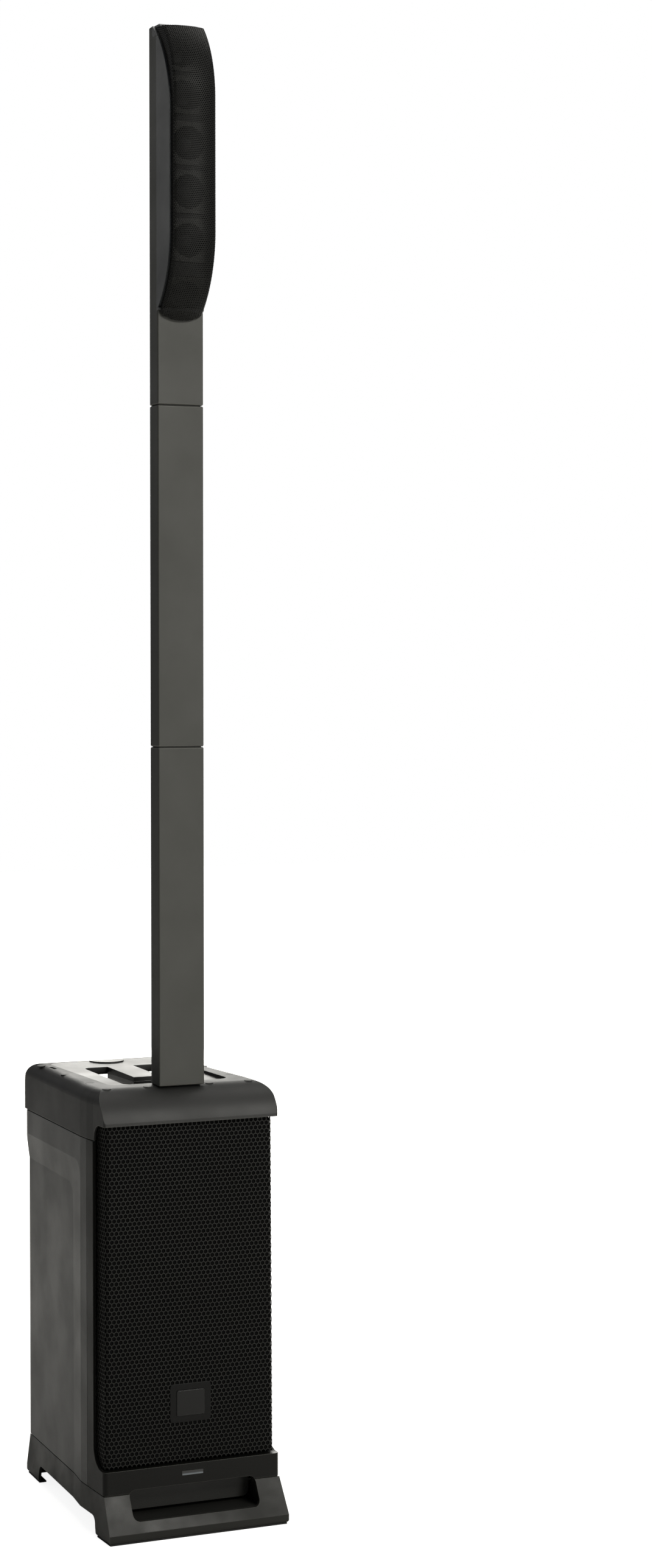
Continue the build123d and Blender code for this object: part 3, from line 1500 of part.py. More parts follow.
rocker_half = rocker_size[1] / 2
rocker_plane = Plane(
    origin=(rocker_x, rocker_y, inlet_z),
    x_dir=(0, sin(radians(rocker_tilt)), cos(radians(rocker_tilt))),
    z_dir=(1, 0, 0),
)
with BuildPart() as power_rocker:
    with BuildSketch(rocker_plane):
        with BuildLine():
            Polyline(
                (-rocker_half, -rocker_rise),
                (0, -rocker_rise * 0.6),
                (rocker_half, -rocker_rise),
                (rocker_half * 0.7, rocker_rise),
                (-rocker_half * 0.7, rocker_rise),
                close=True,
            )
        make_face()
    extrude(amount=rocker_size[0] / 2, both=True)
    with BuildSketch(rocker_plane):
        Circle(rocker_radius)
    extrude(amount=rocker_pin / 2 - button_fit, both=True)
save("power_rocker", power_rocker.part)

# The control board stands off the panel, past the ends of shafts and buttons.
with BuildPart() as control_board:
    board_back = panel_back.offset(-panel_plate - control_board_gap)
    board_row = (knob_row + button_row) / 2
    with BuildSketch(board_back):
        with Locations((0, board_row)):
            Rectangle(*control_board_size)
    extrude(amount=-board_size[2])
    with BuildSketch(board_back):
        with Locations((0, board_row)):
            with GridLocations(control_board_size[0] - post_inset, 0, 2, 1):
                Circle(shaft_radius)
            Circle(shaft_radius)
    extrude(amount=control_board_gap)
save("control_board", control_board.part)

# Amplifier: a finned chassis on posts behind the panel, with its board.
with BuildPart() as amp_chassis:
    chassis_back = panel_back.offset(-panel_plate - amp_stand)
    with BuildSketch(chassis_back):
        with Locations(panel_middle):
            Rectangle(amp_plate[0], amp_plate[1])
    extrude(amount=-amp_plate[2])
    with BuildSketch(chassis_back.offset(-amp_plate[2])):
        with Locations(panel_middle):
            with GridLocations(amp_plate[0] / fin_count, 0, fin_count, 1):
                Rectangle(fin_size[0], amp_plate[1])
    extrude(amount=-fin_size[1])
    with BuildSketch(chassis_back):
        with Locations(panel_middle):
            with GridLocations(amp_plate[0] - post_inset, amp_plate[1] - post_inset, 2, 2):
                Circle(shaft_radius)
    extrude(amount=amp_stand)
save("amp_chassis", amp_chassis.part)

with BuildPart() as amplifier_board:
    with BuildSketch(chassis_back):
        with Locations(panel_middle):
            Rectangle(board_size[0], board_size[1])
    extrude(amount=board_size[2])
    with BuildSketch(chassis_back.offset(board_size[2])):
        with Locations((panel_middle[0] - board_size[0] / 4, panel_middle[1])):
            with GridLocations(0, 2.5 * capacitor_r, 1, 2):
                Circle(capacitor_r)
        with Locations((panel_middle[0] + board_size[0] / 4, panel_middle[1])):
            Rectangle(transformer_side, transformer_side)
    extrude(amount=amp_part_height)
save("amplifier_board", amplifier_board.part)
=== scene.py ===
"""Column PA system: bass cabinet with a carrying handle, two plug-in column
spacers and an array head. One section for each piece, in assembly order."""
import math

import bmesh
import bpy
from mathutils import Matrix, Vector


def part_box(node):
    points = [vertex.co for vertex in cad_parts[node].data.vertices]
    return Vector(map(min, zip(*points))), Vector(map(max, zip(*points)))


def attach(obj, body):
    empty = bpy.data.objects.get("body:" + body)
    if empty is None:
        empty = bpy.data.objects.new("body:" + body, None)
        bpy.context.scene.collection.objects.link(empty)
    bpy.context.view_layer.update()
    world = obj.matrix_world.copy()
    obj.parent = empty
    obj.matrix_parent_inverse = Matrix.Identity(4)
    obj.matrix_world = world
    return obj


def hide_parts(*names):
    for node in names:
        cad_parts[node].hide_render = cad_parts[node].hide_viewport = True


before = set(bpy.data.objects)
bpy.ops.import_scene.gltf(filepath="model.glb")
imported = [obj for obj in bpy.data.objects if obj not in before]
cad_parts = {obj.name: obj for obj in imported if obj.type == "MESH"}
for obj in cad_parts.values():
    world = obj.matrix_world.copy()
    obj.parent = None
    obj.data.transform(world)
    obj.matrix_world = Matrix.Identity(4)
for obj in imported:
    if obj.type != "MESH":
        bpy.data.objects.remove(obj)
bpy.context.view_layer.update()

scene = bpy.context.scene

# ---------------------------------------------------------------- base skirt
# The skirt is injection-moulded black ABS with a fine spark-eroded grain. It
# flares to the floor and is screwed up into the cabinet from below.


def moulded_grain_group():
    """Fine grain, slow sheen changes and painted highlights along the edges of a moulded
    surface.
    """
    group = bpy.data.node_groups.new("moulded_grain", "ShaderNodeTree")
    for name, kind, value in (
        ("Colour", "NodeSocketColor", (0.04, 0.04, 0.04, 1)),
        ("Painted Highlight Colour", "NodeSocketColor", (0.09, 0.09, 0.09, 1)),
        ("Grain Scale", "NodeSocketFloat", 900.0),
        ("Roughness", "NodeSocketFloat", 0.5),
        ("Handling", "NodeSocketFloat", 0.05),
        ("Edge Radius", "NodeSocketFloat", 0.0008),
    ):
        socket = group.interface.new_socket(name, in_out="INPUT", socket_type=kind)
        socket.default_value = value
    for name, kind in (
        ("Colour", "NodeSocketColor"),
        ("Roughness", "NodeSocketFloat"),
        ("Height", "NodeSocketFloat"),
        ("Normal", "NodeSocketVector"),
    ):
        group.interface.new_socket(name, in_out="OUTPUT", socket_type=kind)
    nodes, links = group.nodes, group.links
    inputs, outputs = nodes.new("NodeGroupInput"), nodes.new("NodeGroupOutput")
    place = nodes.new("ShaderNodeTexCoord")

    grain = nodes.new("ShaderNodeTexNoise")
    grain.inputs["Detail"].default_value = 2.0
    links.new(place.outputs["Object"], grain.inputs["Vector"])
    links.new(inputs.outputs["Grain Scale"], grain.inputs["Scale"])
    links.new(grain.outputs["Fac"], outputs.inputs["Height"])

    handling = nodes.new("ShaderNodeTexNoise")
    handling.inputs["Scale"].default_value = 14.0
    handling.inputs["Detail"].default_value = 4.0
    links.new(place.outputs["Object"], handling.inputs["Vector"])
    sheen = nodes.new("ShaderNodeMapRange")
    sheen.inputs["From Min"].default_value = 0.3
    sheen.inputs["From Max"].default_value = 0.7
    sheen.inputs["To Min"].default_value = -1.0
    links.new(handling.outputs["Fac"], sheen.inputs["Value"])
    rough = nodes.new("ShaderNodeMath")
    rough.operation = "MULTIPLY_ADD"
    rough.use_clamp = True
    links.new(sheen.outputs["Result"], rough.inputs[0])
    links.new(inputs.outputs["Handling"], rough.inputs[1])
    links.new(inputs.outputs["Roughness"], rough.inputs[2])
    links.new(rough.outputs["Value"], outputs.inputs["Roughness"])

    # Painted highlight: a lighter colour is mixed in along the edges, where the rounded normal
    # turns away from the face's own normal.
    rounded = nodes.new("ShaderNodeBevel")
    rounded.samples = 6
    links.new(inputs.outputs["Edge Radius"], rounded.inputs["Radius"])
    flat = nodes.new("ShaderNodeNewGeometry")
    turn = nodes.new("ShaderNodeVectorMath")
    turn.operation = "DOT_PRODUCT"
    links.new(rounded.outputs["Normal"], turn.inputs[0])
    links.new(flat.outputs["Normal"], turn.inputs[1])
    painted_highlight = nodes.new("ShaderNodeMapRange")
    painted_highlight.inputs["From Min"].default_value = 0.995
    painted_highlight.inputs["From Max"].default_value = 0.86
    links.new(turn.outputs["Value"], painted_highlight.inputs["Value"])
    colour = nodes.new("ShaderNodeMix")
    colour.data_type = "RGBA"
    links.new(painted_highlight.outputs["Result"], colour.inputs["Factor"])
    links.new(inputs.outputs["Colour"], colour.inputs["A"])
    links.new(inputs.outputs["Painted Highlight Colour"], colour.inputs["B"])
    links.new(colour.outputs["Result"], outputs.inputs["Colour"])
    links.new(rounded.outputs["Normal"], outputs.inputs["Normal"])
    return group


grain_group = moulded_grain_group()


def blank_finish(name):
    """New node material, with its nodes, its links and its shader."""
    material = bpy.data.materials.new(name)
    material.use_nodes = True
    nodes = material.node_tree.nodes
    return material, nodes, material.node_tree.links, nodes["Principled BSDF"]


def moulded(name, colour, painted_highlight, roughness, grain_scale=900.0, relief=0.25, edge=0.0008,
            metallic=0.0, specular=0.5, handling=0.05):
    """Material of one moulded, cast or painted finish, made from the grain group."""
    material, nodes, links, shader = blank_finish(name)
    shader.inputs["Metallic"].default_value = metallic
    shader.inputs["Specular IOR Level"].default_value = specular
    grain = nodes.new("ShaderNodeGroup")
    grain.node_tree = grain_group
    grain.inputs["Colour"].default_value = (*colour, 1)
    # The second colour is the painted highlight mixed in along the edges.
    grain.inputs["Painted Highlight Colour"].default_value = (*painted_highlight, 1)
    grain.inputs["Grain Scale"].default_value = grain_scale
    grain.inputs["Roughness"].default_value = roughness
    grain.inputs["Handling"].default_value = handling
    grain.inputs["Edge Radius"].default_value = edge
    relief_node = nodes.new("ShaderNodeBump")
    relief_node.inputs["Strength"].default_value = relief
    relief_node.inputs["Distance"].default_value = 0.0004
    links.new(grain.outputs["Height"], relief_node.inputs["Height"])
    links.new(grain.outputs["Normal"], relief_node.inputs["Normal"])
    links.new(grain.outputs["Colour"], shader.inputs["Base Color"])
    links.new(grain.outputs["Roughness"], shader.inputs["Roughness"])
    links.new(relief_node.outputs["Normal"], shader.inputs["Normal"])
    return material


def dress(material, *names):
    """Gives CAD nodes their finish."""
    for name in names:
        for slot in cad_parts[name].material_slots:
            slot.material = material


base_black = moulded(
    "base_black", (0.016, 0.016, 0.014), (0.13, 0.13, 0.12), 0.42, edge=0.0011,
    specular=0.22, handling=0.12,
)
dress(base_black, "base_skirt")

# ---------------------------------------------------------------- soles
# Two strips of soft black rubber are glued under the front and back feet, so
# that the cabinet does not slide or ring.
sole_rubber = moulded(
    "sole_rubber", (0.012, 0.012, 0.012), (0.02, 0.02, 0.02), 0.85, grain_scale=500.0
)
dress(sole_rubber, "rubber_feet")

# ---------------------------------------------------------------- port duct
# The bass port is blow-moulded black plastic. Only its front wall shows,
# behind the slot in the base.
port_black = moulded(
    "port_black", (0.012, 0.012, 0.0105), (0.05, 0.05, 0.046), 0.5, specular=0.3
)
dress(port_black, "port_duct")

# ---------------------------------------------------------------- cabinet
# Front moulding and rear shell are structural-foam mouldings screwed together
# along the seam. The front is a little smoother than the grained shell.
front_black = moulded(
    "front_black", (0.005, 0.005, 0.0043), (0.11, 0.11, 0.1), 0.42, specular=0.16
)
shell_black = moulded(
    "shell_black", (0.0055, 0.006, 0.0062), (0.07, 0.074, 0.074), 0.38, relief=0.35,
    specular=0.35,
)
dress(front_black, "front_frame")
dress(shell_black, "cabinet_shell")

# ---------------------------------------------------------------- status light
# A smoked light bar in the lower band, off. Its lens is pale along the foot
# and turns dark towards the top.
light_lens, lens_nodes, lens_links, lens_shader = blank_finish("light_lens")
lens_shader.inputs["Coat Weight"].default_value = 0.4
lens_place = lens_nodes.new("ShaderNodeTexCoord")
lens_ribs = lens_nodes.new("ShaderNodeTexWave")
lens_ribs.inputs["Scale"].default_value = 160.0
lens_ribs.inputs["Distortion"].default_value = 0.5
lens_tint = lens_nodes.new("ShaderNodeValToRGB")
lens_tint.color_ramp.elements[0].color = (0.1, 0.12, 0.135, 1)
lens_tint.color_ramp.elements[1].color = (0.17, 0.19, 0.21, 1)
lens_links.new(lens_place.outputs["Object"], lens_ribs.inputs["Vector"])
lens_links.new(lens_ribs.outputs["Fac"], lens_tint.inputs["Fac"])
light_low, light_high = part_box("status_light")
pale_foot = 0.0008
lens_height = lens_nodes.new("ShaderNodeSeparateXYZ")
lens_links.new(lens_place.outputs["Object"], lens_height.inputs["Vector"])
lens_band = lens_nodes.new("ShaderNodeMapRange")
lens_band.inputs["From Min"].default_value = light_low[2] + pale_foot
lens_band.inputs["From Max"].default_value = (light_low[2] + light_high[2]) / 2
lens_links.new(lens_height.outputs["Z"], lens_band.inputs["Value"])
lens_mix = lens_nodes.new("ShaderNodeMix")
lens_mix.data_type = "RGBA"
lens_mix.inputs["B"].default_value = (0.012, 0.013, 0.014, 1)
lens_links.new(lens_band.outputs["Result"], lens_mix.inputs["Factor"])
lens_links.new(lens_tint.outputs["Color"], lens_mix.inputs["A"])
lens_links.new(lens_mix.outputs["Result"], lens_shader.inputs["Base Color"])
lens_shader.inputs["Roughness"].default_value = 0.3
dress(light_lens, "status_light")

# ---------------------------------------------------------------- woofer
# Pressed-steel basket, rubber surround, pulp cone with a pulp dust cap, cloth
# spider, ferrite magnet and a plated pole piece. All of it is seen only dimly.
basket_black = moulded("basket_black", (0.02, 0.02, 0.02), (0.06, 0.06, 0.06), 0.4)
cone_pulp = moulded(
    "cone_pulp", (0.014, 0.014, 0.014), (0.02, 0.02, 0.02), 0.75, grain_scale=420.0, relief=0.6
)
surround_rubber = moulded(
    "surround_rubber", (0.014, 0.014, 0.014), (0.025, 0.025, 0.025), 0.5, grain_scale=600.0
)
spider_cloth = moulded(
    "spider_cloth", (0.3, 0.22, 0.1), (0.34, 0.26, 0.13), 0.9, grain_scale=1400.0, relief=0.8
)
ferrite = moulded("ferrite", (0.05, 0.05, 0.05), (0.1, 0.1, 0.1), 0.6, grain_scale=1500.0)
plated_steel = moulded(
    "plated_steel", (0.42, 0.42, 0.41), (0.55, 0.55, 0.54), 0.35, grain_scale=300.0,
    relief=0.08, metallic=1.0,
)
dress(basket_black, "woofer_frame")
dress(cone_pulp, "woofer_cone", "woofer_dust_cap")
dress(surround_rubber, "woofer_surround")
dress(spider_cloth, "woofer_spider")
dress(ferrite, "woofer_magnet", "driver_magnets")
dress(plated_steel, "woofer_pole")

# ---------------------------------------------------------------- woofer screws
# Eight countersunk cross-head screws hold the basket's rim on the baffle. They
# stand on one bolt circle, between the rim's ribs.


def add_piece(name, mesh_builder, material, body):
    """Makes a finished bmesh a piece of the model, riding on a body."""
    mesh = bpy.data.meshes.new(name)
    mesh_builder.to_mesh(mesh)
    mesh_builder.free()
    mesh.materials.append(material)
    piece = bpy.data.objects.new(name, mesh)
    scene.collection.objects.link(piece)
    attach(piece, body)
    return piece


def screw_heads(places, radius, facing, depth=0.0012):
    """Cross-head screws at the given places, all facing one way."""
    heads = bmesh.new()
    outward = Vector(facing)
    turn = Vector((0, 0, 1)).rotation_difference(outward).to_matrix().to_4x4()
    chamfer, crown, cross_lift = radius * 0.16, depth * 0.35, depth * 0.36
    cross = Matrix.Diagonal((radius * 1.1, radius * 0.24, depth * 0.2, 1))
    for place in places:
        put = Matrix.Translation(place) @ turn
        made = bmesh.ops.create_circle(
            heads, cap_ends=True, segments=20, radius=radius, matrix=put
        )
        face = made["verts"][0].link_faces[0]
        bmesh.ops.translate(heads, verts=made["verts"], vec=-outward * depth)
        rim = bmesh.ops.extrude_discrete_faces(heads, faces=[face])["faces"][0]
        bmesh.ops.translate(heads, verts=rim.verts[:], vec=outward * depth)
        bmesh.ops.inset_individual(heads, faces=[rim], thickness=chamfer)
        bmesh.ops.translate(heads, verts=rim.verts[:], vec=outward * crown)
        for angle in (0, math.pi / 2):
            slot = bmesh.ops.create_cube(
                heads, size=1.0, matrix=put @ Matrix.Rotation(angle, 4, "Z") @ cross
            )
            bmesh.ops.translate(heads, verts=slot["verts"], vec=outward * cross_lift)
    bmesh.ops.recalc_face_normals(heads, faces=heads.faces)
    return heads


black_screw = moulded(
    "black_screw", (0.03, 0.03, 0.03), (0.12, 0.12, 0.12), 0.35, grain_scale=1500.0,
    relief=0.1, metallic=0.6, edge=0.0002,
)
big_screw = 0.0028
rim_margin = 0.0035
bolt_count = 8
rim_low, rim_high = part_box("woofer_frame")
woofer_centre = (Vector(rim_low) + Vector(rim_high)) / 2
woofer_centre.y = rim_low[1]
bolt_circle = (rim_high[0] - rim_low[0]) / 2 - rim_margin
woofer_screw_places = []
for bolt in range(bolt_count):
    angle = math.tau * (bolt + 0.5) / bolt_count
    woofer_screw_places.append(
        woofer_centre + bolt_circle * Vector((math.cos(angle), 0, math.sin(angle)))
    )
add_piece(
    "woofer_screws", screw_heads(woofer_screw_places, big_screw, (0, -1, 0)), black_screw,
    "cabinet",
)

# ---------------------------------------------------------------- woofer grille
# Sheet steel punched with hexagons, its sides folded back and painted matt
# black. It clips between the strips; a plain pad is welded on for the badge.
hex_pitch = 0.0063
hex_web = 0.00115
grille_steel = 0.0012
grille_bend = 0.005
pad_size = (0.057, 0.051)
grille_low, grille_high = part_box("woofer_grille")
badge_low, badge_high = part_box("badge_plate")
grille_top_half = 0.1166


def punched_sheet(pitch, web, width, height):
    """Flat sheet of hexagonal holes, centred on X and starting at Z = 0."""
    sheet = bmesh.new()
    bmesh.ops.create_circle(sheet, cap_ends=True, segments=6, radius=pitch / math.sqrt(3))
    ring = bmesh.ops.inset_individual(
        sheet, faces=sheet.faces[:], thickness=web / 2, use_even_offset=True
    )["faces"]
    hole = [face for face in sheet.faces if face not in ring]
    bmesh.ops.delete(sheet, geom=hole, context="FACES_ONLY")
    bmesh.ops.rotate(sheet, verts=sheet.verts, matrix=Matrix.Rotation(math.pi / 2, 3, "X"))
    columns = int(width / pitch) + 3
    row_pitch = pitch * math.sqrt(3) / 2
    rows = int(height / row_pitch) + 3
    bmesh.ops.translate(
        sheet, verts=sheet.verts, vec=(-pitch * (columns // 2), 0, -row_pitch)
    )
    cell = sheet.verts[:] + sheet.edges[:] + sheet.faces[:]
    for column in range(1, columns):
        copy = bmesh.ops.duplicate(sheet, geom=cell)["geom"]
        verts = [item for item in copy if isinstance(item, bmesh.types.BMVert)]
        bmesh.ops.translate(sheet, verts=verts, vec=(pitch * column, 0, 0))
    row = sheet.verts[:] + sheet.edges[:] + sheet.faces[:]
    for number in range(1, rows):
        copy = bmesh.ops.duplicate(sheet, geom=row)["geom"]
        verts = [item for item in copy if isinstance(item, bmesh.types.BMVert)]
        bmesh.ops.translate(
            sheet, verts=verts, vec=(pitch / 2 * (number % 2), 0, row_pitch * number)
        )
    bmesh.ops.remove_doubles(sheet, verts=sheet.verts, dist=web / 20)
    trim(sheet, (-width / 2, 0, 0), (-1, 0, 0))
    trim(sheet, (width / 2, 0, 0), (1, 0, 0))
    trim(sheet, (0, 0, 0), (0, 0, -1))
    trim(sheet, (0, 0, height), (0, 0, 1))
    return sheet


hair = 1e-6


def trim(sheet, point, outward):
    """Cuts the sheet along a plane and drops what lies outside it."""
    bmesh.ops.bisect_plane(
        sheet, geom=sheet.verts[:] + sheet.edges[:] + sheet.faces[:], dist=hair,
        plane_co=point, plane_no=outward, clear_outer=True,
    )


front_y = grille_low[1]
grille_height = grille_high[2] - grille_low[2]
foot_half = grille_high[0]
flat_half = foot_half - grille_bend
side_run = grille_high[1] - front_y - grille_bend


def folded(across, radius):
    """X and depth of a point on a sheet whose sides are folded back round a radius."""
    reach, side = abs(across), math.copysign(1, across)
    turn = min(max(reach - flat_half, 0) / radius, math.pi / 2)
    x = min(reach, flat_half) + radius * math.sin(turn)
    past = max(reach - flat_half - radius * math.pi / 2, 0)
    return side * x, radius * (1 - math.cos(turn)) + past


def narrowed(height):
    """Share of the foot's width that the grille has at a height above its foot."""
    return 1 + (grille_top_half / foot_half - 1) * height / grille_height


woofer_sheet = punched_sheet(
    hex_pitch, hex_web, 2 * (flat_half + grille_bend * math.pi / 2 + side_run), grille_height
)
pad_z = (badge_low[2] + badge_high[2]) / 2 - grille_low[2]
under_pad = [
    face for face in woofer_sheet.faces
    if abs(face.calc_center_median().x) < pad_size[0] / 2 - hex_pitch / 2
    and abs(face.calc_center_median().z - pad_z) < pad_size[1] / 2 - hex_pitch / 2
]
bmesh.ops.delete(woofer_sheet, geom=under_pad, context="FACES")
for vert in woofer_sheet.verts:
    x, depth = folded(vert.co.x, grille_bend)
    vert.co = (x * narrowed(vert.co.z), front_y + depth, grille_low[2] + vert.co.z)
grille_paint = moulded(
    "grille_paint", (0.0085, 0.0085, 0.0074), (0.035, 0.035, 0.031), 0.5, grain_scale=1600.0,
    edge=0.0003, specular=0.24,
)
woofer_grille = add_piece(
    "punched_woofer_grille", woofer_sheet, grille_paint, "cabinet"
)
steel = woofer_grille.modifiers.new("steel", "SOLIDIFY")
steel.thickness = grille_steel
steel.offset = -1.0
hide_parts("woofer_grille")

# ---------------------------------------------------------------- grille cloth
# Black acoustic cloth is glued taut behind the punched steel, so the woofer
# does not show through it.
cloth_gap = 0.0001
cloth_inset = grille_steel + cloth_gap
cloth_bend = grille_bend - cloth_inset
cloth_hem = 0.002
cloth_size = (
    2 * (flat_half + cloth_bend * math.pi / 2 + side_run), grille_height - 2 * cloth_hem
)
cloth_form = bmesh.new()
bmesh.ops.create_grid(cloth_form, x_segments=120, y_segments=44, size=0.5)
for vert in cloth_form.verts:
    height = cloth_hem + (vert.co.y + 0.5) * cloth_size[1]
    x, depth = folded(vert.co.x * cloth_size[0], cloth_bend)
    vert.co = (
        x * narrowed(height), front_y + cloth_inset + depth, grille_low[2] + height
    )
bmesh.ops.recalc_face_normals(cloth_form, faces=cloth_form.faces)
cloth_black, weave_nodes, weave_links, weave_shader = blank_finish("cloth_black")
weave_shader.inputs["Roughness"].default_value = 1.0
weave_shader.inputs["Specular IOR Level"].default_value = 0.05
weave_place = weave_nodes.new("ShaderNodeTexCoord")
weave = weave_nodes.new("ShaderNodeTexVoronoi")
weave.inputs["Scale"].default_value = 1400.0
weave_tint = weave_nodes.new("ShaderNodeValToRGB")
weave_tint.color_ramp.elements[0].color = (0.002, 0.002, 0.002, 1)
weave_tint.color_ramp.elements[1].color = (0.006, 0.006, 0.006, 1)
weave_links.new(weave_place.outputs["Object"], weave.inputs["Vector"])
weave_links.new(weave.outputs["Distance"], weave_tint.inputs["Fac"])
weave_links.new(weave_tint.outputs["Color"], weave_shader.inputs["Base Color"])
grille_cloth = add_piece("grille_cloth", cloth_form, cloth_black, "cabinet")

# ---------------------------------------------------------------- badge pad
# A plain pressed pad is welded over the holes and carries a bare plate. The
# plate has nothing printed on it.


def rounded_plate(size, corner, centre, front, thickness):
    """Upright plate with rounded corners and a small bevel, facing the front."""
    plate = bmesh.new()
    bmesh.ops.create_grid(plate, x_segments=1, y_segments=1, size=0.5)
    bmesh.ops.scale(plate, verts=plate.verts, vec=(size[0], size[1], 1))
    bmesh.ops.bevel(
        plate, geom=plate.verts[:], offset=corner, affect="VERTICES", segments=6,
        profile=0.5, material=-1,
    )
    bmesh.ops.rotate(plate, verts=plate.verts, matrix=Matrix.Rotation(math.pi / 2, 3, "X"))
    bmesh.ops.translate(
        plate, verts=plate.verts, vec=(centre[0], front + thickness, centre[1])
    )
    top = bmesh.ops.extrude_face_region(plate, geom=plate.faces[:])["geom"]
    raised = [item for item in top if isinstance(item, bmesh.types.BMVert)]
    bmesh.ops.translate(plate, verts=raised, vec=(0, -thickness, 0))
    rim = [edge for edge in plate.edges if all(v.co.y < front + hair for v in edge.verts)]
    bmesh.ops.bevel(
        plate, geom=rim, offset=thickness / 3, affect="EDGES", segments=2, profile=0.5,
        material=-1,
    )
    bmesh.ops.recalc_face_normals(plate, faces=plate.faces)
    return plate


pad_black = moulded(
    "pad_black", (0.003, 0.003, 0.0028), (0.03, 0.03, 0.029), 0.45, specular=0.15
)
badge_gloss = moulded(
    "badge_gloss", (0.003, 0.003, 0.003), (0.09, 0.09, 0.088), 0.25, relief=0.06, edge=0.0005,
    specular=0.3,
)
pad_corner = 0.0045
pad_proud = 0.0005
pad_thickness = 0.0016
add_piece(
    "badge_pad",
    rounded_plate(
        pad_size, pad_corner, (0, grille_low[2] + pad_z), front_y - pad_proud, pad_thickness
    ),
    pad_black, "cabinet",
)
dress(badge_gloss, "badge_plate")

# ---------------------------------------------------------------- cap and deck
# The cap is one grained moulding; its deck takes most of the light. The tray,
# the plug discs and the rear lip snap into it.
cap_black = moulded(
    "cap_black", (0.009, 0.009, 0.0083), (0.13, 0.13, 0.12), 0.54, relief=0.3, edge=0.001
)
tray_black = moulded("tray_black", (0.02, 0.02, 0.019), (0.07, 0.07, 0.066), 0.42)
disc_black = moulded(
    "disc_black", (0.006, 0.006, 0.0055), (0.03, 0.03, 0.028), 0.6, edge=0.0002
)
grip_black = moulded(
    "grip_black", (0.02, 0.02, 0.02), (0.04, 0.04, 0.04), 0.22, relief=0.05, edge=0.001
)
dress(cap_black, "top_cap")
dress(disc_black, "deck_plugs")
dress(tray_black, "handle_tray", "rear_lip")
dress(grip_black, "handle_grip")

# ---------------------------------------------------------------- column
# Aluminium extrusions with a warm charcoal powder coat, on black nylon plugs
# and sockets with gold-plated spring contacts.
socket_nylon = moulded("socket_nylon", (0.02, 0.02, 0.02), (0.04, 0.04, 0.04), 0.55)
powder_coat = moulded(
    "powder_coat", (0.034, 0.0345, 0.0287), (0.2, 0.2, 0.185), 0.5, grain_scale=2200.0,
    relief=0.3, edge=0.0013,
)
gold_contact = moulded(
    "gold_contact", (0.8, 0.58, 0.25), (0.9, 0.7, 0.4), 0.25, relief=0.03, metallic=1.0,
    edge=0.0003,
)
dress(socket_nylon, "column_socket", "lower_spacer_plug", "upper_spacer_plug", "head_plug",
      "lower_spacer_socket", "upper_spacer_socket")
dress(powder_coat, "lower_spacer_tube", "upper_spacer_tube", "head_spine")
dress(gold_contact, "lower_spacer_contacts", "upper_spacer_contacts", "head_contacts")

# ---------------------------------------------------------------- array head
# A grained front shell round the folded baffle, which carries six small
# drivers. Shell and baffle are black ABS.
head_black = moulded(
    "head_black", (0.019, 0.0222, 0.025), (0.1, 0.105, 0.11), 0.38, relief=0.3
)
baffle_black = moulded("baffle_black", (0.006, 0.006, 0.006), (0.012, 0.012, 0.012), 0.7)
driver_rim = moulded(
    "driver_rim", (0.035, 0.035, 0.031), (0.09, 0.09, 0.084), 0.5, specular=0.4
)
driver_cone = moulded("driver_cone", (0.006, 0.006, 0.006), (0.01, 0.01, 0.01), 0.7)
dress(head_black, "head_shell")
dress(baffle_black, "head_baffle")
dress(driver_rim, "driver_frames")
dress(driver_cone, "driver_cones")

# ---------------------------------------------------------------- head grille
# Thin steel with fine perforation, crowned across its width and rolled along
# the bulge. Its sides tuck into the shell's cheeks and a plate closes the top.
fine_pitch = 0.0027
fine_web = 0.00095
fine_steel = 0.0008
bulge_radius = 0.131
crown_proud = 0.0074
crown_rise = 0.005
crown_bend = 0.0025
bend_slope = 0.7
bend_drop = 0.42
cheek_step = 0.0032
cheek_radius = 0.143
cheek_tuck = 0.002
end_gap = 0.0035
lip_lift = 0.0036
tail = 0.008
shell_low, shell_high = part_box("head_shell")
spine_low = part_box("head_spine")[0]
fine_low, fine_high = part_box("head_grille")
bulge_front = fine_low[1] + crown_proud + crown_rise
arc_angle = math.acos(1 - (spine_low[1] - bulge_front) / bulge_radius)
arc_run = bulge_radius * math.sin(arc_angle)
arc_length = bulge_radius * arc_angle
low_z, high_z = shell_low[2] + arc_run, shell_high[2] - arc_run
cheek_front = bulge_front + cheek_step
cheek_fall = math.acos(1 - (shell_high[1] - cheek_front) / cheek_radius)
cheek_z = shell_high[2] - cheek_radius * math.sin(cheek_fall)
crown_half = fine_high[0] - crown_bend
crown_radius = (crown_half**2 + crown_rise**2) / (2 * crown_rise)
crown_edge = math.asin(crown_half / crown_radius)


def crown_point(across):
    """X and height above the bulge's line, at a distance across the sheet."""
    reach, side = abs(across), math.copysign(1, across)
    crown_run = crown_radius * crown_edge
    if reach <= crown_run:
        angle = reach / crown_radius
        x = crown_radius * math.sin(angle)
        height = crown_proud + crown_rise - crown_radius * (1 - math.cos(angle))
    else:
        down = reach - crown_run
        x = min(crown_half + down * bend_slope, fine_high[0])
        height = crown_proud - max(down * bend_slope, down - crown_bend * bend_drop)
    return side * x, height


def bulge_point(along, height):
    """Y and Z on the bulge, at a distance along it and a height above it."""
    middle_y = bulge_front + bulge_radius
    reach = bulge_radius + height
    if along < 0:
        angle, middle_z = -along / bulge_radius, low_z
    elif along < high_z - low_z:
        return bulge_front - height, low_z + along
    else:
        angle, middle_z = (high_z - low_z - along) / bulge_radius, high_z
    return middle_y - reach * math.cos(angle), middle_z - reach * math.sin(angle)


def cheek_line(level):
    """Y where the grille's sides end, just inside the shell's side walls."""
    if level < low_z:
        radius, past = bulge_radius, low_z - level
    else:
        radius, past = cheek_radius, max(level - cheek_z, 0)
    return cheek_front + cheek_tuck + radius - math.sqrt(radius**2 - past**2)


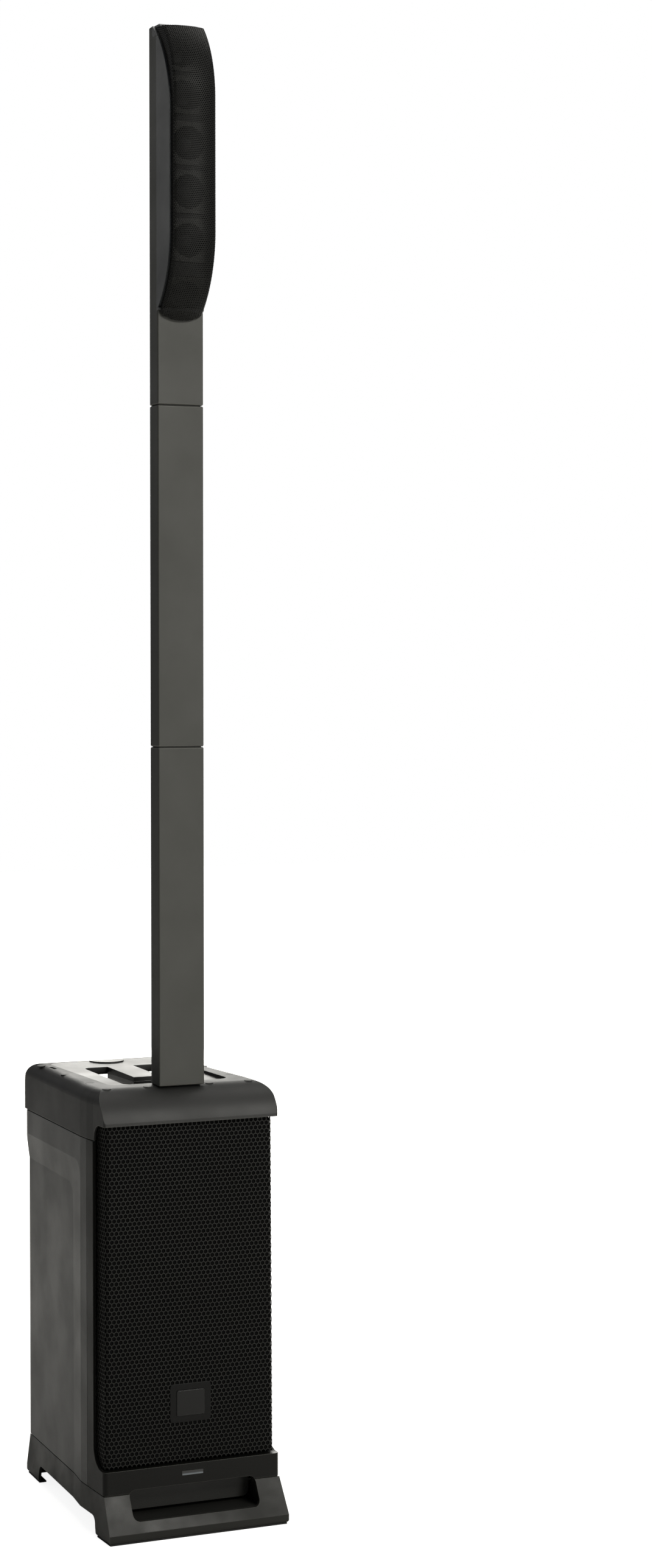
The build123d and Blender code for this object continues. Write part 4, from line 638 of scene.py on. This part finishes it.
side_depth = crown_proud + shell_high[1] - bulge_front
head_sheet = punched_sheet(
    fine_pitch, fine_web, 2 * (crown_radius * crown_edge + side_depth),
    2 * (arc_length + tail) + high_z - low_z,
)
for vert in head_sheet.verts:
    x, height = crown_point(vert.co.x)
    vert.co = (x, *bulge_point(vert.co.z - arc_length - tail, height))
lip_top = shell_low[2] + end_gap
lip_y = spine_low[1] - lip_lift
bmesh.ops.bisect_plane(
    head_sheet, geom=head_sheet.verts[:] + head_sheet.edges[:] + head_sheet.faces[:],
    dist=hair, plane_co=(0, lip_y, 0), plane_no=(0, 1, 0),
)
trim(head_sheet, (0, 0, shell_high[2] - end_gap), (0, 0, 1))
behind = []
for face in head_sheet.faces:
    centre = face.calc_center_median()
    if centre.y > (lip_y if centre.z < lip_top else cheek_line(centre.z)):
        behind.append(face)
bmesh.ops.delete(head_sheet, geom=behind, context="FACES")
fine_paint = moulded(
    "fine_paint", (0.006, 0.006, 0.0055), (0.03, 0.03, 0.028), 0.5, grain_scale=1600.0,
    edge=0.0003, specular=0.2,
)
head_grille = add_piece(
    "punched_head_grille", head_sheet, fine_paint, "array_head"
)
rolled = head_grille.modifiers.new("steel", "SOLIDIFY")
rolled.thickness = fine_steel
rolled.offset = -1.0
end_level = shell_high[2] - end_gap - fine_steel
end_steps = 12
end_plate = bmesh.new()
rim = []
for step in range(-end_steps, end_steps + 1):
    x, height = crown_point(crown_radius * crown_edge * step / end_steps)
    reach = bulge_radius + height
    y = bulge_front + bulge_radius - math.sqrt(reach**2 - (end_level - high_z) ** 2)
    rim.append(end_plate.verts.new((x, y, end_level)))
for x in (fine_high[0], -fine_high[0]):
    rim.append(end_plate.verts.new((x, cheek_line(end_level), end_level)))
bmesh.ops.contextual_create(end_plate, geom=rim)
bmesh.ops.recalc_face_normals(end_plate, faces=end_plate.faces)
head_end = add_piece("head_grille_end", end_plate, fine_paint, "array_head")
plate_steel = head_end.modifiers.new("steel", "SOLIDIFY")
plate_steel.thickness = fine_steel
plate_steel.offset = 0.0
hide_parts("head_grille")

# ---------------------------------------------------------------- rear panel
# Grained panel let into the back, with rubber-coated knobs, silicone buttons
# and moulded sockets.
panel_black = moulded("panel_black", (0.026, 0.026, 0.027), (0.07, 0.07, 0.07), 0.55)
knob_black = moulded("knob_black", (0.02, 0.02, 0.02), (0.05, 0.05, 0.05), 0.6, edge=0.0006)
button_grey = moulded(
    "button_grey", (0.09, 0.09, 0.092), (0.15, 0.15, 0.15), 0.6, edge=0.0006
)
socket_black = moulded("socket_black", (0.012, 0.012, 0.012), (0.05, 0.05, 0.05), 0.35)
knobs = ("channel_knob_1", "channel_knob_2", "channel_knob_3", "master_knob")
buttons = ("pairing_button", "ducking_button", "feedback_button", "preset_button")
dress(panel_black, "control_panel")
dress(knob_black, *knobs)
dress(button_grey, *buttons)
dress(socket_black, "combo_jacks", "output_socket", "aux_jacks", "power_inlet", "switch_frame",
      "power_rocker")

# ---------------------------------------------------------------- panel print
# White silk-screen on the panel: a ring of ticks round each knob and plain
# generic words for the controls. A painted line fills each knob's groove.
panel_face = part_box("control_panel")[1][1]
print_white = moulded("print_white", (0.5, 0.5, 0.48), (0.55, 0.55, 0.53), 0.6, relief=0.05)
ink = bmesh.new()


def stroke(form, centre, size, turn=0.0):
    """Thin printed bar on a face that looks to the back."""
    put = Matrix.Translation(centre) @ Matrix.Rotation(turn, 4, "Y")
    bmesh.ops.create_cube(form, size=1.0, matrix=put @ Matrix.Diagonal((*size, 1)))


def word(form, text, centre, size):
    """Printed word on a face that looks to the back."""
    curve = bpy.data.curves.new("word", "FONT")
    curve.body, curve.size, curve.align_x, curve.extrude = text, size, "CENTER", 0.0001
    letters = bpy.data.objects.new("word", curve)
    mesh = bpy.data.meshes.new_from_object(letters)
    turn = Matrix.Rotation(math.pi, 4, "Z") @ Matrix.Rotation(math.pi / 2, 4, "X")
    mesh.transform(Matrix.Translation(centre) @ turn)
    form.from_mesh(mesh)
    bpy.data.objects.remove(letters)
    bpy.data.curves.remove(curve)
    bpy.data.meshes.remove(mesh)


def middle(node):
    """X and Z of a node's middle, and Y of its back."""
    low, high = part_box(node)
    return (low[0] + high[0]) / 2, (low[2] + high[2]) / 2, high[1]


tick_size = (0.0005, 0.0002, 0.0018)
tick_clear = 0.0024
tick_turn = 30
tick_count = 11
knob_word, over_knob = 0.0045, 0.0055
button_word, under_button = 0.0034, 0.0085
socket_word, over_socket, over_aux = 0.0038, 0.003, 0.0105
line_width, line_thickness, line_sunk = 0.0011, 0.0006, 0.0009
line_share, line_place = 0.8, 0.45
for name, title in zip(knobs, ("1", "2", "3", "MAIN")):
    x, z, end = middle(name)
    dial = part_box(name)[1][0] - x
    reach = dial + tick_clear
    for tick in range(tick_count):
        angle = math.radians(tick_turn * (tick - tick_count // 2))
        stroke(
            ink, (x - reach * math.sin(angle), panel_face, z + reach * math.cos(angle)),
            tick_size, -angle,
        )
    word(ink, title, (x, panel_face, z + dial + over_knob), knob_word)
    pointer = bmesh.new()
    stroke(
        pointer, (x, end - line_sunk, z + dial * line_place),
        (line_width, line_thickness, dial * line_share),
    )
    add_piece("pointer_" + name, pointer, print_white, name)
for name, title in zip(buttons, ("PAIR", "DUCK", "FEEDBACK", "PRESET")):
    x, z = middle(name)[:2]
    word(ink, title, (x, panel_face, z - under_button), button_word)
flange_half = 0.013
inputs_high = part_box("combo_jacks")[1]
jack_x = inputs_high[0] - flange_half
output_x, jack_z, jack_face = middle("output_socket")
for title, x in (("INPUT 1", jack_x), ("INPUT 2", -jack_x), ("OUTPUT", output_x)):
    word(ink, title, (x, panel_face, inputs_high[2] + over_socket), socket_word)
aux_x, aux_z = middle("aux_jacks")[:2]
word(ink, "INPUT 3", (aux_x, panel_face, aux_z + over_aux), socket_word)
add_piece("panel_print", ink, print_white, "cabinet")

# ---------------------------------------------------------------- socket contacts
# Three plated pins stand in the output socket and three blades in the mains
# inlet. The combined inputs' three pin holes are flat black discs of painted shade.
face_back = Matrix.Rotation(-math.pi / 2, 4, "X")
socket_depth = 0.016
pin_length = 0.012
pin_foot, pin_tip = 0.0012, 0.0011
pin_circle = 0.0038
hole_radius = 0.0014
hole_circle = 0.0063
hole_depth = 0.00795
blade_size = (0.002, 0.014, 0.004)
blade_depth = 0.009
blade_places = ((-0.007, -0.002), (0, 0.002), (0.007, -0.002))


def triangle(x, y, circle):
    """Places of a socket's three contacts, turned to the back."""
    for angle in (90, 210, 330):
        across = circle * math.cos(math.radians(angle))
        up = circle * math.sin(math.radians(angle))
        yield Matrix.Translation((x + across, y, jack_z + up)) @ face_back


pins = bmesh.new()
for put in triangle(output_x, jack_face - socket_depth + pin_length / 2, pin_circle):
    bmesh.ops.create_cone(
        pins, cap_ends=True, segments=12, radius1=pin_foot, radius2=pin_tip,
        depth=pin_length, matrix=put,
    )
add_piece("output_pins", pins, plated_steel, "cabinet")
blades = bmesh.new()
inlet_x, inlet_z, inlet_face = middle("power_inlet")
for x, z in blade_places:
    stroke(blades, (inlet_x + x, inlet_face - blade_depth, inlet_z + z), blade_size)
add_piece("inlet_blades", blades, plated_steel, "cabinet")
# Painted shade: flat near-black discs inside the combined inputs stand for their pin holes.
hole_shade_discs = bmesh.new()
for x in (jack_x, -jack_x):
    for put in triangle(x, jack_face - hole_depth, hole_circle):
        bmesh.ops.create_circle(
            hole_shade_discs, cap_ends=True, segments=12, radius=hole_radius, matrix=put
        )
painted_hole_shade = moulded("painted_hole_shade", (0.002, 0.002, 0.002), (0.002, 0.002, 0.002), 0.9)
add_piece("input_pin_hole_shade", hole_shade_discs, painted_hole_shade, "cabinet")

# ---------------------------------------------------------------- rear screws
# Cross-head screws hold the panel, the three socket flanges and the mains
# inlet. The switch frame is held by its own clips.
panel_low, panel_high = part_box("control_panel")
panel_margin = 0.0135
flange_diagonal = (0.0095, 0.012)
inlet_reach = 0.02
small_screw, small_depth = 0.0018, 0.0008
panel_screws = [
    (side * (panel_high[0] - panel_margin), panel_face, z)
    for side in (-1, 1)
    for z in (
        panel_low[2] + panel_margin, (panel_low[2] + panel_high[2]) / 2,
        panel_high[2] - panel_margin,
    )
]
flange_screws = [
    (x + side * flange_diagonal[0], jack_face, jack_z + side * flange_diagonal[1])
    for x in (jack_x, -jack_x, output_x)
    for side in (-1, 1)
]
inlet_screws = [(inlet_x + side * inlet_reach, inlet_face, inlet_z) for side in (-1, 1)]
add_piece(
    "panel_screws", screw_heads(panel_screws, big_screw, (0, 1, 0)), black_screw, "cabinet",
)
add_piece(
    "socket_screws",
    screw_heads(flange_screws + inlet_screws, small_screw, (0, 1, 0), small_depth),
    black_screw, "cabinet",
)

# ---------------------------------------------------------------- amplifier
# Bare aluminium chassis with fins, and two lacquered boards behind the panel.
bare_aluminium = moulded(
    "bare_aluminium", (0.55, 0.55, 0.56), (0.7, 0.7, 0.7), 0.4, grain_scale=300.0,
    relief=0.1, metallic=1.0,
)
board_green = moulded("board_green", (0.01, 0.1, 0.04), (0.03, 0.16, 0.08), 0.35)
dress(bare_aluminium, "amp_chassis")
dress(board_green, "amplifier_board", "control_board")

# ---------------------------------------------------------------- studio
# Pale floor and backdrop. Soft boxes hang above, stand behind on the right and
# high on the left, and light the front from above and from below eye level.
floor_mesh = bpy.data.meshes.new("studio_floor")
floor_form = bmesh.new()
bmesh.ops.create_grid(floor_form, x_segments=1, y_segments=1, size=12.0)
floor_form.to_mesh(floor_mesh)
floor_form.free()
studio_floor = bpy.data.objects.new("studio_floor", floor_mesh)
scene.collection.objects.link(studio_floor)
floor_paper, paper_nodes, paper_links, paper_shader = blank_finish("floor_paper")
paper_shader.inputs["Roughness"].default_value = 0.9
paper_shader.inputs["Specular IOR Level"].default_value = 0.1
paper_shader.inputs["Emission Strength"].default_value = 1.0
paper_place = paper_nodes.new("ShaderNodeTexCoord")
paper_fibre = paper_nodes.new("ShaderNodeTexNoise")
paper_fibre.inputs["Scale"].default_value = 40.0
paper_tint = paper_nodes.new("ShaderNodeValToRGB")
paper_tint.color_ramp.elements[0].color = (0.9, 0.89, 0.86, 1)
paper_tint.color_ramp.elements[1].color = (0.94, 0.93, 0.9, 1)
paper_links.new(paper_place.outputs["Object"], paper_fibre.inputs["Vector"])
paper_links.new(paper_fibre.outputs["Fac"], paper_tint.inputs["Fac"])
paper_links.new(paper_tint.outputs["Color"], paper_shader.inputs["Base Color"])
paper_reach = paper_nodes.new("ShaderNodeVectorMath")
paper_reach.operation = "LENGTH"
paper_links.new(paper_place.outputs["Object"], paper_reach.inputs[0])
paper_fade = paper_nodes.new("ShaderNodeMapRange")
paper_fade.interpolation_type = "SMOOTHSTEP"
paper_fade.inputs["From Min"].default_value = 0.45
paper_fade.inputs["From Max"].default_value = 1.6
paper_fade.inputs["To Min"].default_value = 0.88
paper_fade.inputs["To Max"].default_value = 1.0
paper_links.new(paper_reach.outputs["Value"], paper_fade.inputs["Value"])
seen = paper_nodes.new("ShaderNodeLightPath")
paper_glow = paper_nodes.new("ShaderNodeMath")
paper_glow.operation = "MULTIPLY"
paper_links.new(paper_fade.outputs["Result"], paper_glow.inputs[0])
paper_links.new(seen.outputs["Is Camera Ray"], paper_glow.inputs[1])
paper_links.new(paper_glow.outputs["Value"], paper_shader.inputs["Emission Color"])
floor_mesh.materials.append(floor_paper)

world = bpy.data.worlds.new("studio_air")
scene.world = world
world.use_nodes = True
air_nodes, air_links = world.node_tree.nodes, world.node_tree.links
air = air_nodes["Background"]
air.inputs["Color"].default_value = (0.93, 0.95, 1.0, 1)
air.inputs["Strength"].default_value = 0.12
backdrop = air_nodes.new("ShaderNodeBackground")
backdrop.inputs["Color"].default_value = (1, 1, 1, 1)
chosen = air_nodes.new("ShaderNodeMixShader")
air_path = air_nodes.new("ShaderNodeLightPath")
air_links.new(air_path.outputs["Is Camera Ray"], chosen.inputs["Fac"])
air_links.new(air.outputs["Background"], chosen.inputs[1])
air_links.new(backdrop.outputs["Background"], chosen.inputs[2])
air_links.new(chosen.outputs["Shader"], air_nodes["World Output"].inputs["Surface"])


def soft_lamp(name, place, aim, size, power):
    """Rectangular soft box at a place, turned towards a point."""
    lamp = bpy.data.lights.new(name, "AREA")
    lamp.shape = "RECTANGLE"
    lamp.size, lamp.size_y = size
    lamp.energy = power
    lamp.color = (1.0, 0.985, 0.93)
    holder = bpy.data.objects.new(name, lamp)
    holder.location = place
    holder.rotation_euler = (Vector(aim) - Vector(place)).to_track_quat("-Z", "Y").to_euler()
    holder.visible_camera = False
    scene.collection.objects.link(holder)


soft_lamp("top_box", (0.5, 0.6, 3.6), (0, 0, 0.6), (2.4, 2.0), 38.0)
soft_lamp("left_back_box", (-2.4, 3.9, 2.9), (0, 0, 1.2), (2.4, 2.2), 8.5)
soft_lamp("right_back_box", (2.3, 4.1, 1.3), (0, 0, 0.8), (3.0, 2.4), 120.0)
soft_lamp("front_box", (1.5, -3.8, 3.5), (0, 0, 0.4), (2.4, 1.2), 122.0)
soft_lamp("low_front_box", (1.7, -4.2, 0.9), (0, 0, 0.8), (1.2, 1.2), 34.0)

# ---------------------------------------------------------------- camera
# Long lens at chest height, off to the left of the front and tipped slightly
# down, far enough away to keep the column straight.
camera = bpy.data.cameras.new("camera")
camera.sensor_fit = "VERTICAL"
camera.sensor_height = 36.0
camera.lens = 69.46
camera.clip_end = 60.0
tripod = bpy.data.objects.new("camera", camera)
tripod.location = (-1.4895, -3.7883, 1.1256)
tripod.rotation_euler = (math.radians(87.8), 0, math.radians(-24.91))
scene.collection.objects.link(tripod)
scene.camera = tripod
scene.view_settings.view_transform = "Standard"
